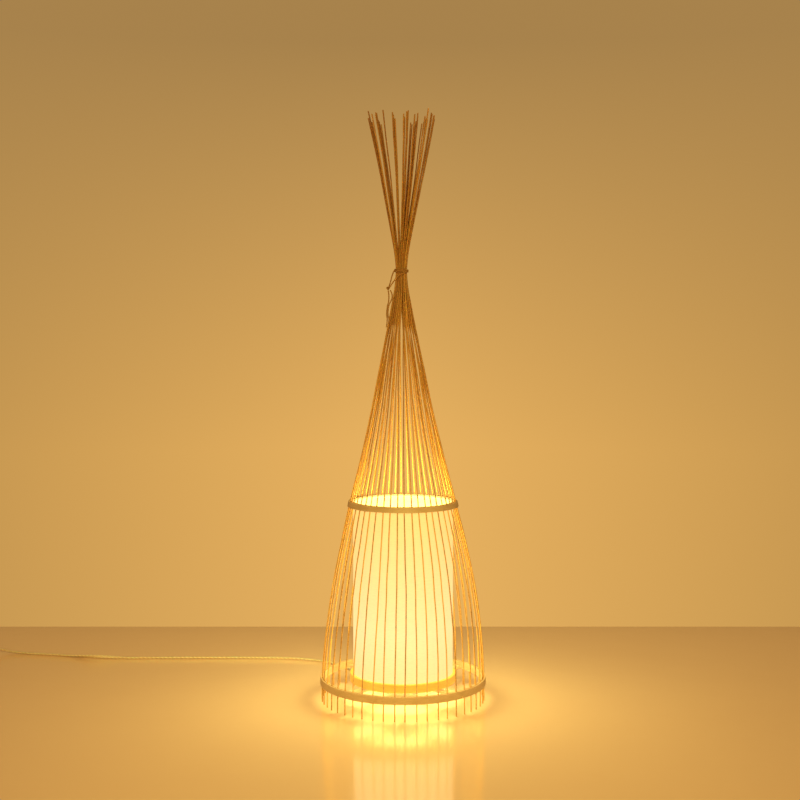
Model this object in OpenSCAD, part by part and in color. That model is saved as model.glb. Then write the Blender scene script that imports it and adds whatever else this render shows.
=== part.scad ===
// Bamboo sheaf lamp: a cage of thin bamboo splints held between two pairs of
// hoops and tied at the neck, round a lit cylindrical shade on a crossed-slat base.
// Millimetres. +Z is up, the feet of the splints stand on z = 0, and the axis of
// the lower hoop is the Z axis. The front of the lamp faces -Y.

/* [Cage] */
// Outside diameter of the lower hoop
cage_d = 248; // [240:2:270]
// Height of the highest splint tip
cage_h = 872; // [840:4:920]
// Height of the twine binding at the neck
tie_h = 640; // [620:5:660]
// Diameter of one bamboo splint
splint_d = 1.8; // [1.6:0.1:2.2]
// Half the width of the open flare at the top
flare_r = 48; // [42:1:54]
// How far the neck leans to the side
neck_lean = 2.4; // [0:0.2:6]
// Turn of the whole sheaf about its axis as it passes the neck
neck_twist = 22; // [0:1:30]

/* [Hoops] */
// Height of the lower hoop's bottom edge
lower_hoop_z = 25; // [24:1:30]
// Height of the lower hoop's strips
lower_hoop_h = 11; // [10:1:16]
// Height of the upper hoop's bottom edge
upper_hoop_z = 291; // [286:1:291]
// Height of the upper hoop's strips
upper_hoop_h = 8; // [7:0.5:10]
// Thickness of a split-bamboo strip
strip_t = 1.8; // [1.5:0.1:2]

/* [Shade] */
// Outside diameter of the shade's skin
shade_d = 149; // [140:1:149]
// Thickness of the shade's skin
skin_t = 0.6; // [0.5:0.1:1]
// Height of the shade's base ring
base_ring_h = 12.4; // [11:0.2:14]
// Thickness of the shade's base ring
base_ring_t = 4.6; // [3:0.2:5]

/* [Base slats] */
// Width of a cross slat
slat_w = 10; // [8:1:12]
// Thickness of a cross slat
slat_t = 3.6; // [3.2:0.2:4]

/* [Lamp holder and bulb] */
// Outside diameter of the lamp holder
holder_d = 40; // [38:1:42]
// Largest diameter of the bulb
bulb_d = 60; // [55:1:62]
// Height of the bulb's glass above its cap
glass_h = 78; // [70:1:84]

/* [Cord] */
// Diameter of the mains cord
cord_d = 5; // [4.6:0.1:5]
// Diameter of the binding twine
twine_d = 2.1; // [1.4:0.1:2.2]

/* [Hidden] */

round_fn = 96;
small_fn = 32;

// Colours
splint_tint = "#dba45c";
strip_tint = "#d9a566";
slat_tint = "#dcae70";
skin_tint = "#fff0c0";
ring_tint = "#f0bd5c";
twine_tint = "#8a5528";
steel_tint = "#b8b8b4";
brass_tint = "#c9a24e";
holder_tint = "#efece4";
cord_tint = "#e6dfd0";

// Splints round the hoops, two to a node
splint_n = 48;
pitch = 360 / splint_n;
phase = 271.5;
fit_gap = 0.1;
splint_gap = 0.15;
splint_sides = 6;

// A ring of n splints lying side by side has this radius
function packed_r(n) = (splint_d + splint_gap) / (2 * sin(180 / n));
neck_r = packed_r(24);

strip_near = splint_d / 2 + fit_gap;
strip_far = strip_near + strip_t;
foot_ease = 0.3;
foot_r = cage_d / 2 - strip_far + foot_ease;
lower_top = lower_hoop_z + lower_hoop_h;
upper_top = upper_hoop_z + upper_hoop_h;

// The cage's outline: fraction of the height to the tie, fraction of the spread
// between the neck and the foot
outline = [
    [0, 1], [0.06, 0.993], [0.16, 0.952], [0.30, 0.833], [0.46, 0.630],
    [0.62, 0.404], [0.78, 0.216], [0.92, 0.059], [0.96, 0.016], [1, 0]
];

// Steps from the tips' even spread (first) to the tufts that they stand in (second)
tufts = [
    [-60, -62], [-22, -30], [-21, -19], [-8, -6], [-7, 1], [8, 12],
    [9, 16], [19, 23], [20, 26], [60, 58]
];

// Six neighbouring splints at the neck: the ring each packs into and its turn
// from the middle of the six
pack_ring = [24, 16, 24, 8, 16, 24];
pack_turn = [-15, -11.25, 0, 0, 11.25, 15];
// Spread of the tips for the three rings, as a fraction of flare_r
tip_spread = [0.98, 0.70, 0.36];

hoop_jitter = rands(-0.35, 0.35, splint_n, 11);
bow_jitter = rands(-0.5, 0.5, splint_n, 23);
tip_turn = rands(-7, 7, splint_n, 31);
tip_out = rands(-3, 2, splint_n, 47);
tip_drop = rands(0, 13, splint_n, 53);

function mix(a, b, t) = a + (b - a) * t;
function clamp01(t) = min(1, max(0, t));
function ease(t) = let (u = clamp01(t)) u * u * (3 - 2 * u);

// Smooth curve through a table of [x, y] points
function span(tab, x, i = 0) =
    i >= len(tab) - 2 || x < tab[i + 1][0] ? i : span(tab, x, i + 1);
function rise(tab, i) =
    let (a = tab[max(0, i - 1)], b = tab[min(len(tab) - 1, i + 1)])
    (b[1] - a[1]) / (b[0] - a[0]);
function curve(tab, x) =
    let (i = span(tab, x), a = tab[i], b = tab[i + 1], w = b[0] - a[0], t = (x - a[0]) / w)
    let (t2 = t * t, t3 = t2 * t)
    a[1] * (2 * t3 - 3 * t2 + 1) + b[1] * (3 * t2 - 2 * t3)
    + w * rise(tab, i) * (t3 - 2 * t2 + t) + w * rise(tab, i + 1) * (t3 - t2);

// Radius of the layer of splints at height z, below the neck
function cage_r(z) = neck_r + (foot_r - neck_r) * curve(outline, min(1, z / tie_h));
belly_lean = 1.4;
function lean_x(z) = -neck_lean * ease((z - 230) / (tie_h - 260))
    + 0.9 * neck_lean * ease((z - tie_h) / (cage_h - tie_h - 60))
    + belly_lean * sin(180 * clamp01((z - lower_top) / (upper_hoop_z - lower_top)));

// One splint's place in the sheaf
function azimuth(i) = phase + i * pitch + hoop_jitter[i];
function ring_of(i) = pack_ring[i % 6];
function neck_turn(i) = phase + (floor(i / 6) * 6 + 2.5) * pitch + pack_turn[i % 6];
function spread_of(i) = ring_of(i) == 24 ? tip_spread[0] : ring_of(i) == 16 ? tip_spread[1] : tip_spread[2];
function tip_z(i) = cage_h - tip_drop[i];
function twist_at(z) = neck_twist * ease((z - tie_h + 130) / 200);

function polar(r, a) = [r * cos(a), r * sin(a)];
function tip_xy(i) =
    let (p = polar(flare_r * spread_of(i) + tip_out[i], neck_turn(i) + neck_twist + tip_turn[i]))
    [lookup(p.x, tufts), p.y];

function below_neck(i, z) =
    let (w = ease((z - upper_top) / (tie_h - upper_top)))
    let (bow = bow_jitter[i] * sin(180 * clamp01((z - lower_top) / (upper_hoop_z - lower_top))))
    polar(cage_r(z) - (neck_r - packed_r(ring_of(i))) * w,
          mix(azimuth(i) + bow, neck_turn(i), w) + twist_at(z));

function above_neck(i, z) =
    let (t = (z - tie_h) / (tip_z(i) - tie_h), soft = 0.10)
    let (f = (sqrt(soft * soft + t * t) - soft) / (sqrt(soft * soft + 1) - soft))
    mix(polar(packed_r(ring_of(i)), neck_turn(i) + twist_at(z)), tip_xy(i), f);

function splint_at(i, z) =
    let (p = z <= tie_h ? below_neck(i, z) : above_neck(i, z))
    [p.x + lean_x(z), p.y, z];

function splint_heights(i) = concat(
    [0, lower_hoop_z, lower_top],
    [for (k = [1:4]) mix(lower_top, upper_hoop_z, k / 5)],
    [upper_hoop_z, upper_top],
    [for (k = [1:6]) mix(upper_top, tie_h, 1 - pow(1 - k / 7, 1.5))],
    [tie_h],
    [for (k = [1:5]) mix(tie_h, tip_z(i), pow(k / 5, 1.5))]
);

// Closed skin over a list of rings that have the same number of points
module ring_skin(rings) {
    n = len(rings[0]);
    last = (len(rings) - 1) * n;
    polyhedron(
        points = [for (r = rings) each r],
        faces = concat(
            [[for (k = [0:n - 1]) k]],
            [[for (k = [n - 1:-1:0]) last + k]],
            [for (j = [0:len(rings) - 2], k = [0:n - 1]) let (a = j * n + k, b = j * n + (k + 1) % n)
                each [[a, a + n, b], [b, a + n, b + n]]]
        )
    );
}

// Tube along a route of points, with its rings square to the route
function unit(v) = v / norm(v);
function heading(route, j) = unit(route[min(len(route) - 1, j + 1)] - route[max(0, j - 1)]);
module tube(route, d, sides, up = [0, 0, 1]) {
    ring_skin([for (j = [0:len(route) - 1])
        let (t = heading(route, j), s = unit(cross(t, up)), u = cross(s, t))
        [for (k = [0:sides - 1]) route[j] + d / 2 * (s * cos(360 * k / sides) + u * sin(360 * k / sides))]]);
}

// Extra points on a smooth curve through a hand-made route
function bend_point(p, j, t) =
    let (a = p[max(0, j - 1)], b = p[j], c = p[j + 1], d = p[min(len(p) - 1, j + 2)])
    0.5 * (2 * b + (c - a) * t + (2 * a - 5 * b + 4 * c - d) * t * t + (3 * b - a - 3 * c + d) * t * t * t);
function fine_route(p, n) = concat(
    [for (j = [0:len(p) - 2], k = [0:n - 1]) bend_point(p, j, k / n)],
    [p[len(p) - 1]]
);

module splint(i) {
    ring_skin([for (z = splint_heights(i)) let (c = splint_at(i, z))
        [for (k = [0:splint_sides - 1])
            c + splint_d / 2 * [cos(-360 * k / splint_sides), sin(-360 * k / splint_sides), 0]]]);
}

module splint_pair(p) {
    color(splint_tint) {
        splint(2 * p);
        splint(2 * p + 1);
    }
}

// A hoop strip that leans with the splints, from radius offset a to b
module leaning_strip(z0, z1, a, b) {
    rotate_extrude($fn = round_fn)
        polygon([[cage_r(z0) + a, z0], [cage_r(z0) + b, z0], [cage_r(z1) + b, z1], [cage_r(z1) + a, z1]]);
}

module lower_outer_strip() {
    color(strip_tint) leaning_strip(lower_hoop_z, lower_top, strip_near, strip_far);
}

module lower_inner_strip() {
    color(strip_tint) leaning_strip(lower_hoop_z, lower_top, -strip_far, -strip_near);
}

module upper_outer_strip() {
    color(strip_tint) leaning_strip(upper_hoop_z, upper_top, strip_near, strip_far);
}

module upper_inner_strip() {
    color(strip_tint) leaning_strip(upper_hoop_z, upper_top, -strip_far, -strip_near);
}

// Crossed slats, half-lapped at the middle, in the gaps between splints
slat_a_turn = 42.75;
slat_b_turn = slat_a_turn + 90;
slat_z = lower_hoop_z + 0.4;
slat_top = slat_z + slat_t;
slat_half = cage_r(slat_top) - strip_far - 0.3;
lap_gap = 0.1;
nipple_d = 10;
nipple_hole = 10.4;

module slat(turn, lap_z) {
    rotate([0, 0, turn]) difference() {
        translate([-slat_half, -slat_w / 2, slat_z]) cube([2 * slat_half, slat_w, slat_t]);
        translate([-slat_w / 2 - lap_gap, -slat_w, lap_z]) cube([slat_w + 2 * lap_gap, 2 * slat_w, slat_t]);
        translate([0, 0, slat_z - 1]) cylinder(d = nipple_hole, h = slat_t + 2, $fn = round_fn);
    }
}

module cross_slat_a() {
    color(slat_tint) slat(slat_a_turn, slat_z + slat_t / 2 - lap_gap / 2);
}

module cross_slat_b() {
    color(slat_tint) slat(slat_b_turn, slat_z - slat_t / 2 - lap_gap / 2);
}

// Nails through the lower hoop's strips into the ends of the slats
nail_d = 1.2;
nail_head_d = 2.6;
nail_l = 17;
module nail(l) {
    cylinder(d = nail_d, h = l, $fn = small_fn);
    translate([0, 0, l]) cylinder(d = nail_head_d, h = 0.6, $fn = small_fn);
}

module slat_nails() {
    z = slat_z + slat_t / 2;
    head_r = cage_r(z) + strip_far + 0.1;
    color(brass_tint) for (k = [0:3])
        rotate([0, 0, slat_a_turn + 90 * k]) translate([head_r - nail_l, 0, z]) rotate([0, 90, 0]) nail(nail_l);
}

// Shade
skin_r = shade_d / 2;
ring_in = skin_r + 0.2;
ring_z = slat_top;
shade_top = upper_top - 0.2;

module shade_skin() {
    color(skin_tint, 0.9) rotate_extrude($fn = round_fn)
        translate([skin_r - skin_t, ring_z + 0.4]) square([skin_t, shade_top - ring_z - 0.4]);
}

wire_d = 2;
module shade_top_wire() {
    color(steel_tint) translate([0, 0, shade_top - 2]) rotate_extrude($fn = round_fn)
        translate([skin_r - skin_t - wire_d / 2 - 0.15, 0]) circle(d = wire_d, $fn = small_fn);
}

module shade_base_ring() {
    color(ring_tint) rotate_extrude($fn = round_fn)
        translate([ring_in, ring_z]) square([base_ring_t, base_ring_h]);
}

// Nails up through the slats into the shade's base ring
module ring_nails() {
    color(brass_tint) for (k = [0:3])
        rotate([0, 0, slat_a_turn + 90 * k]) translate([ring_in + base_ring_t / 2, 0, slat_z + 10])
            rotate([180, 0, 0]) nail(10);
}

// Lamp holder, standing on a plate over the crossing of the slats
plate_d = 52;
plate_t = 1.5;
plate_z = slat_top;
base_z = plate_z + plate_t;
base_h = 17;
body_z = base_z + base_h;
body_h = 50;
floor_t = 4;
nut_af = 14;
nut_h = 3;
plate_screw_r = 23.2;

module holder_plate() {
    color(steel_tint) difference() {
        translate([0, 0, plate_z]) cylinder(d = plate_d, h = plate_t, $fn = round_fn);
        translate([0, 0, plate_z - 1]) cylinder(d = nipple_hole, h = plate_t + 2, $fn = round_fn);
        rotate([0, 0, slat_a_turn]) for (side = [-1, 1])
            translate([side * plate_screw_r, 0, plate_z - 1]) cylinder(d = 2.4, h = plate_t + 2, $fn = small_fn);
    }
}

module screw(head_d, head_h, d, l) {
    difference() {
        cylinder(d = head_d, h = head_h, $fn = small_fn);
        translate([-head_d, -0.4, head_h - 0.8]) cube([2 * head_d, 0.8, 1]);
    }
    translate([0, 0, -l]) cylinder(d = d, h = l, $fn = small_fn);
}

// Screws that clamp the plate to slat a, outside the holder's base
module plate_screws() {
    color(steel_tint) for (side = [-1, 1])
        rotate([0, 0, slat_a_turn]) translate([side * plate_screw_r, 0, base_z]) screw(4.4, 1.6, 2, 4.4);
}

nipple_bottom = slat_z - 5;
nipple_top = body_z + floor_t + nut_h + 1;
module holder_nipple() {
    color(brass_tint) difference() {
        translate([0, 0, nipple_bottom]) cylinder(d = nipple_d, h = nipple_top - nipple_bottom, $fn = round_fn);
        translate([0, 0, nipple_bottom - 1])
            cylinder(d = nipple_d - 3, h = nipple_top - nipple_bottom + 2, $fn = round_fn);
    }
}

module nut(z) {
    translate([0, 0, z]) difference() {
        cylinder(d = nut_af / cos(30), h = nut_h, $fn = 6);
        translate([0, 0, -1]) cylinder(d = nipple_d + 0.1, h = nut_h + 2, $fn = round_fn);
    }
}

module nipple_nuts() {
    color(brass_tint) {
        nut(slat_z - nut_h - 0.1);
        nut(body_z + floor_t + 0.1);
    }
}

// The cord comes in through the side of the holder's base
exit_turn = 117.75;
gland_z = base_z + 7.5;
gland_d = 9;
gland_tip_d = 6.4;
gland_l = 24;
gland_r = holder_d / 2 - 3;

module holder_base() {
    wall = 2.4;
    color(holder_tint) difference() {
        translate([0, 0, base_z]) cylinder(d = holder_d, h = base_h, $fn = round_fn);
        translate([0, 0, base_z - 1]) cylinder(d = holder_d - 2 * wall, h = base_h - 2, $fn = round_fn);
        translate([0, 0, base_z]) cylinder(d = nipple_hole, h = base_h + 2, $fn = round_fn);
        rotate([0, 0, exit_turn]) translate([0, 0, gland_z]) rotate([0, 90, 0])
            cylinder(d = gland_d + 0.2, h = holder_d, $fn = round_fn);
    }
}

sleeve_r = 14.2;
cap_r = 13.1;
well_r = sleeve_r + 0.1;
module holder_body() {
    color(holder_tint) difference() {
        translate([0, 0, body_z]) rotate_extrude($fn = round_fn) polygon([
            [0, 0], [holder_d / 2, 0], [holder_d / 2, body_h - 8], [holder_d / 2 - 2, body_h - 6],
            [holder_d / 2 - 2, body_h], [0, body_h]
        ]);
        translate([0, 0, body_z + floor_t]) cylinder(r = well_r, h = body_h, $fn = round_fn);
        translate([0, 0, body_z - 1]) cylinder(d = nipple_hole, h = floor_t + 2, $fn = round_fn);
    }
}

// Threaded metal sleeve that the bulb's cap screws into
sleeve_z = body_z + floor_t + 10;
sleeve_h = 28;
module holder_sleeve() {
    color(brass_tint) translate([0, 0, sleeve_z]) difference() {
        cylinder(r = sleeve_r, h = sleeve_h, $fn = round_fn);
        translate([0, 0, -1]) cylinder(r = cap_r + 0.1, h = sleeve_h + 2, $fn = round_fn);
    }
}

// Sprung strip under the bulb's tip, on a foot beside the nipple's nut
contact_top = sleeve_z - 1;
module holder_contact() {
    strip_w = 5;
    foot_z = body_z + floor_t + 0.1;
    color(brass_tint) {
        translate([8.6, -strip_w / 2, foot_z]) cube([4.4, strip_w, 0.8]);
        translate([12.2, -strip_w / 2, foot_z + 0.8]) cube([0.8, strip_w, contact_top - foot_z - 1.6]);
        translate([-4, -strip_w / 2, contact_top - 0.8]) cube([17, strip_w, 0.8]);
    }
}

// Bulb, screwed home at rest
tip_z0 = contact_top + 0.2;
tip_h = 1.4;
insulator_h = 4;
cap_z = tip_z0 + tip_h + insulator_h;
cap_h = 23;
glass_z = cap_z + cap_h;

module bulb_tip() {
    color(brass_tint) translate([0, 0, tip_z0]) cylinder(r = 4.6, h = tip_h, $fn = round_fn);
}

module bulb_insulator() {
    color("#26221f") translate([0, 0, tip_z0 + tip_h]) rotate_extrude($fn = round_fn)
        polygon([[0, 0], [4.6, 0], [10.4, insulator_h], [0, insulator_h]]);
}

module bulb_cap() {
    color(steel_tint) translate([0, 0, cap_z]) cylinder(r = cap_r, h = cap_h, $fn = round_fn);
}

// Half outline of the glass: a neck that swells into a round head
bulb_r = bulb_d / 2;
head_z = glass_h - bulb_r;
throat_r = 12.6;
lip_h = 6;
function glass_r(z) = mix(throat_r, bulb_r, ease((z - lip_h) / (head_z - lip_h)));
function glass_line(t) = concat(
    [for (k = [0:10]) [glass_r(head_z * k / 10) - t, head_z * k / 10]],
    [for (a = [15:15:75]) [(bulb_r - t) * cos(a), head_z + (bulb_r - t) * sin(a)]],
    [[0, head_z + bulb_r - t]]
);
module bulb_glass() {
    outer = glass_line(0);
    inner = glass_line(1.2);
    color("#fff8e6") translate([0, 0, glass_z]) rotate_extrude($fn = round_fn)
        polygon(concat(outer, [for (k = [len(inner) - 1:-1:0]) inner[k]]));
}

// Twine round the neck; its two ends drop to a knot on the left and hang as tails
bundle_r = neck_r + splint_d / 2;
wrap_r = bundle_r + twine_d / 2 + 0.15;
neck_x = lean_x(tie_h);
wrap_pitch = twine_d + 0.05;
module neck_binding() {
    color(twine_tint) for (k = [-1:1])
        translate([neck_x, 0, tie_h + k * wrap_pitch]) rotate_extrude($fn = round_fn)
            translate([wrap_r, 0]) circle(d = twine_d, $fn = small_fn);
}

loop_left = [
    [-13.6, -4.2, 638.9], [-15.2, -4.6, 635.3], [-16.8, -4.8, 630.2], [-18, -4.8, 625.1], [-19.2, -4.8, 621],
    [-20.2, -4.8, 617.9]
];
loop_front = [
    [-1.8, -10.8, 635.1], [-6.1, -10.8, 632.7], [-10.1, -9.8, 628.7], [-13.6, -8.4, 624.3], [-16.5, -7.2, 620.1],
    [-18.4, -6.4, 617.2]
];
knot_at = [-21.9, -5.4, 614.1];
tail_one = [
    [-21.9, -5.4, 610.5], [-21.1, -5.4, 605.5], [-21, -5.4, 598.8], [-21.7, -5.6, 592.7], [-23.1, -5.8, 587.4],
    [-23.8, -6, 581.4], [-24.2, -6.6, 575.3], [-23.4, -7.6, 569.3], [-23.7, -8.2, 562.6], [-24.7, -8.2, 555.9]
];
tail_two = [
    [-19, -6.4, 611], [-17.1, -7.2, 607.5], [-16, -8.6, 602.7], [-16.9, -9.2, 597.3], [-19.1, -9.2, 592.7],
    [-21, -9, 588], [-22, -8.8, 582], [-22.3, -9.4, 576], [-21, -11.4, 569.3], [-18.7, -13.8, 563.3],
    [-17.3, -15.4, 557.2], [-18, -16.2, 550.6], [-19.1, -16.6, 544.6]
];

module binding_knot() {
    color(twine_tint) translate(knot_at) {
        sphere(r = 2.4, $fn = small_fn);
        translate([-1.1, 0.2, -0.6]) sphere(r = 1.8, $fn = small_fn);
        translate([1.1, -0.2, 0.6]) sphere(r = 1.8, $fn = small_fn);
    }
}

module twine_ends() {
    color(twine_tint) {
        tube(fine_route(loop_left, 3), twine_d, 8, [0, 1, 0]);
        tube(fine_route(loop_front, 3), twine_d, 8, [0, 1, 0]);
        tube(fine_route(tail_one, 2), twine_d, 8, [0, 1, 0]);
        tube(fine_route(tail_two, 2), twine_d, 8, [0, 1, 0]);
    }
}

// Tapered strain relief on the cord where it leaves the holder's base
module cord_gland() {
    color(holder_tint) rotate([0, 0, exit_turn]) translate([gland_r, 0, gland_z]) rotate([0, 90, 0])
        rotate_extrude($fn = round_fn) polygon([
            [0, 0], [gland_d / 2, 0], [gland_d / 2, 6], [gland_tip_d / 2, gland_l], [0, gland_l]
        ]);
}

// The cord: from the gland down to the ground, out between two splints, away to
// the left behind the lamp, and up into the in-line switch
gland_end = gland_r + gland_l;
exit_way = [cos(exit_turn), sin(exit_turn)];
function along_exit(r, z) = [r * exit_way.x, r * exit_way.y, z];
lie = cord_d / 2;
cord_start = [
    along_exit(gland_end, gland_z), along_exit(50, gland_z - 1), along_exit(62, gland_z - 6),
    along_exit(75, gland_z - 15), along_exit(88, gland_z - 24.5), along_exit(101, lie + 3),
    along_exit(114, lie + 0.2), along_exit(128, lie)
];
cord_floor = [
    [-68, 131, lie], [-79, 153, lie], [-93, 177, lie], [-113, 200, lie], [-138, 219, lie],
    [-168, 232, lie], [-205, 238, lie], [-250, 240, lie], [-305, 241, lie], [-360, 241, lie],
    [-415, 240, lie], [-465, 239, lie], [-510, 242, lie], [-550, 250, lie], [-590, 260, lie],
    [-630, 268, lie], [-662, 276, lie + 0.4], [-690, 286, lie + 2], [-712, 290, lie + 3]
];
cord_end = [
    [-768, 290, lie + 3], [-778.5, 286.5, lie + 2], [-787, 279, lie + 1],
    [-791.6, 269, lie + 0.2], [-792, 256, lie], [-792, 242, lie]
];

module cord() {
    color(cord_tint) tube(fine_route(concat(cord_start, cord_floor), 2), cord_d, 8);
}

// The rest of the cord lies in a round coil between the switch and the plug: three
// turns side by side on the ground and two more in the grooves on top of them
coil_x = -759.5;
coil_y = 226;
coil_mid_r = 27.5;
coil_low = 1.5 * cord_d;
coil_top = cord_d;
coil_h = cord_d * (1 + sqrt(3) / 2);

module cord_coil() {
    color(cord_tint) translate([coil_x, coil_y, 0]) rotate_extrude($fn = round_fn)
        translate([coil_mid_r, 0]) polygon([
            [-coil_low, 0], [coil_low, 0], [coil_low, cord_d], [coil_top, coil_h],
            [-coil_top, coil_h], [-coil_low, cord_d]
        ]);
}

// The plug lies beside the coil, in line with the cord's last turn, pins to the front
plug_x = coil_x - coil_mid_r - cord_d / 2;
plug_tail_y = 202;
plug_back_y = 194;
plug_l = 34;
plug_t = 13.7;
plug_w = 35;
plug_z = plug_t / 2;
pin_d = 4;
pin_l = 19;
pin_pitch = 18.6;
plug_lead = [[plug_x, coil_y, coil_h - lie], [plug_x, 214, coil_h - lie], [plug_x, plug_tail_y, plug_z]];

// From the switch to the coil, and from the coil to the plug
module cord_leads() {
    color(cord_tint) {
        tube(fine_route(cord_end, 2), cord_d, 8);
        tube(plug_lead, cord_d, 8);
    }
}

module plug_body() {
    waist = plug_l / 2;
    shoulder = plug_l - 6;
    color(holder_tint) translate([plug_x, plug_back_y, 0]) rotate([0, 0, -90]) {
        linear_extrude(plug_t) polygon([
            [0, -5], [waist, -10], [shoulder, -plug_w / 2], [plug_l, -plug_w / 2],
            [plug_l, plug_w / 2], [shoulder, plug_w / 2], [waist, 10], [0, 5]
        ]);
        translate([plug_back_y - plug_tail_y, 0, plug_z]) rotate([0, 90, 0])
            cylinder(d1 = cord_d + 1.4, d2 = 9, h = plug_tail_y - plug_back_y, $fn = round_fn);
    }
}

module plug_pins() {
    color(steel_tint) for (side = [-1, 1])
        translate([plug_x + side * pin_pitch / 2, plug_back_y - plug_l, plug_z]) rotate([90, 0, 0]) {
            cylinder(d = pin_d, h = pin_l - 1, $fn = round_fn);
            translate([0, 0, pin_l - 1]) cylinder(d1 = pin_d, d2 = pin_d - 1.4, h = 1, $fn = round_fn);
        }
}

// In-line switch
switch_x = -740;
switch_y = 290;
switch_l = 56;
switch_w = 24;
split_z = 8;
switch_h = 15;
shell_t = 2;
post_x = 18.5;
post_d = 5;
switch_screw_d = 2;
window_l = 18.6;
window_w = 9;
pivot_z = 11.8;
pivot_d = 2;
pivot_play = 0.05;
rocker_play = 0.2;
rocker_tilt = 7;

module capsule(l, w, h) {
    linear_extrude(h) {
        square([l - w, w], center = true);
        translate([w / 2 - l / 2, 0]) circle(d = w, $fn = round_fn);
        translate([l / 2 - w / 2, 0]) circle(d = w, $fn = round_fn);
    }
}

module switch_base() {
    color(cord_tint) translate([switch_x, switch_y, 0]) difference() {
        capsule(switch_l, switch_w, split_z);
        translate([0, 0, shell_t]) capsule(switch_l - 2 * shell_t, switch_w - 2 * shell_t, split_z);
        for (side = [-1, 1]) translate([side * post_x, 0, -1]) {
            cylinder(d = switch_screw_d + 0.3, h = split_z, $fn = small_fn);
            cylinder(d = 2 * switch_screw_d + 0.4, h = 2.2, $fn = small_fn);
        }
    }
}

module switch_cover() {
    ear_w = 2;
    ear_y = window_w / 2 + 0.1;
    color(cord_tint) translate([switch_x, switch_y, 0]) difference() {
        union() {
            difference() {
                translate([0, 0, split_z]) capsule(switch_l, switch_w, switch_h - split_z);
                translate([0, 0, split_z - 1])
                    capsule(switch_l - 2 * shell_t, switch_w - 2 * shell_t, switch_h - split_z + 1 - shell_t);
            }
            for (side = [-1, 1]) {
                translate([side * post_x, 0, shell_t + 0.1])
                    cylinder(d = post_d, h = switch_h - 2 * shell_t, $fn = small_fn);
                translate([-2.5, side * (ear_y + ear_w / 2) - ear_w / 2, pivot_z - 2.6])
                    cube([5, ear_w, switch_h - shell_t - pivot_z + 2.7]);
            }
        }
        translate([-window_l / 2, -window_w / 2, pivot_z]) cube([window_l, window_w, switch_h]);
        translate([0, -ear_y - ear_w - 1, pivot_z]) rotate([-90, 0, 0])
            cylinder(d = pivot_d + 2 * pivot_play, h = 2 * (ear_y + ear_w + 1), $fn = round_fn);
    }
}

// Rocker, pressed down on its left side at rest, with the lamp lit
module switch_rocker() {
    half_l = window_l / 2 - 0.9;
    half_w = window_w / 2 - rocker_play;
    color(holder_tint) translate([switch_x, switch_y, pivot_z]) rotate([0, -rocker_tilt, 0]) {
        translate([0, half_w, 0]) rotate([90, 0, 0]) linear_extrude(2 * half_w) polygon([
            [-half_l, 1.4], [-4, -2.4], [4, -2.4], [half_l, 1.4], [half_l, 5], [0, 4], [-half_l, 5]
        ]);
        translate([0, -half_w - 1.9, 0]) rotate([-90, 0, 0])
            cylinder(d = pivot_d, h = 2 * half_w + 3.8, $fn = round_fn);
    }
}

module switch_screws() {
    color(steel_tint) for (side = [-1, 1])
        translate([switch_x + side * post_x, switch_y, 1.1]) rotate([180, 0, 0])
            screw(2 * switch_screw_d, 0.9, switch_screw_d, 8);
}

splint_pair(0);  // splint_pair_01
splint_pair(1);  // splint_pair_02
splint_pair(2);  // splint_pair_03
splint_pair(3);  // splint_pair_04
splint_pair(4);  // splint_pair_05
splint_pair(5);  // splint_pair_06
splint_pair(6);  // splint_pair_07
splint_pair(7);  // splint_pair_08
splint_pair(8);  // splint_pair_09
splint_pair(9);  // splint_pair_10
splint_pair(10);  // splint_pair_11
splint_pair(11);  // splint_pair_12
splint_pair(12);  // splint_pair_13
splint_pair(13);  // splint_pair_14
splint_pair(14);  // splint_pair_15
splint_pair(15);  // splint_pair_16
splint_pair(16);  // splint_pair_17
splint_pair(17);  // splint_pair_18
splint_pair(18);  // splint_pair_19
splint_pair(19);  // splint_pair_20
splint_pair(20);  // splint_pair_21
splint_pair(21);  // splint_pair_22
splint_pair(22);  // splint_pair_23
splint_pair(23);  // splint_pair_24
lower_outer_strip();
lower_inner_strip();
upper_outer_strip();
upper_inner_strip();
cross_slat_a();
cross_slat_b();
slat_nails();
shade_skin();
shade_top_wire();
shade_base_ring();
ring_nails();
holder_plate();
plate_screws();
holder_nipple();
nipple_nuts();
holder_base();
holder_body();
holder_sleeve();
holder_contact();
bulb_tip();
bulb_insulator();
bulb_cap();
bulb_glass();
neck_binding();
binding_knot();
twine_ends();
cord_gland();
cord();
cord_leads();
cord_coil();
switch_base();
switch_cover();
switch_rocker();
switch_screws();
plug_body();
plug_pins();
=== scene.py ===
"""Looks of the bamboo sheaf lamp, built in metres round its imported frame."""

import logging
import math
from collections.abc import Callable, Sequence
from dataclasses import dataclass
from enum import Enum

import bmesh
import bpy
import numpy as np
from mathutils import Matrix, Vector


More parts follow.
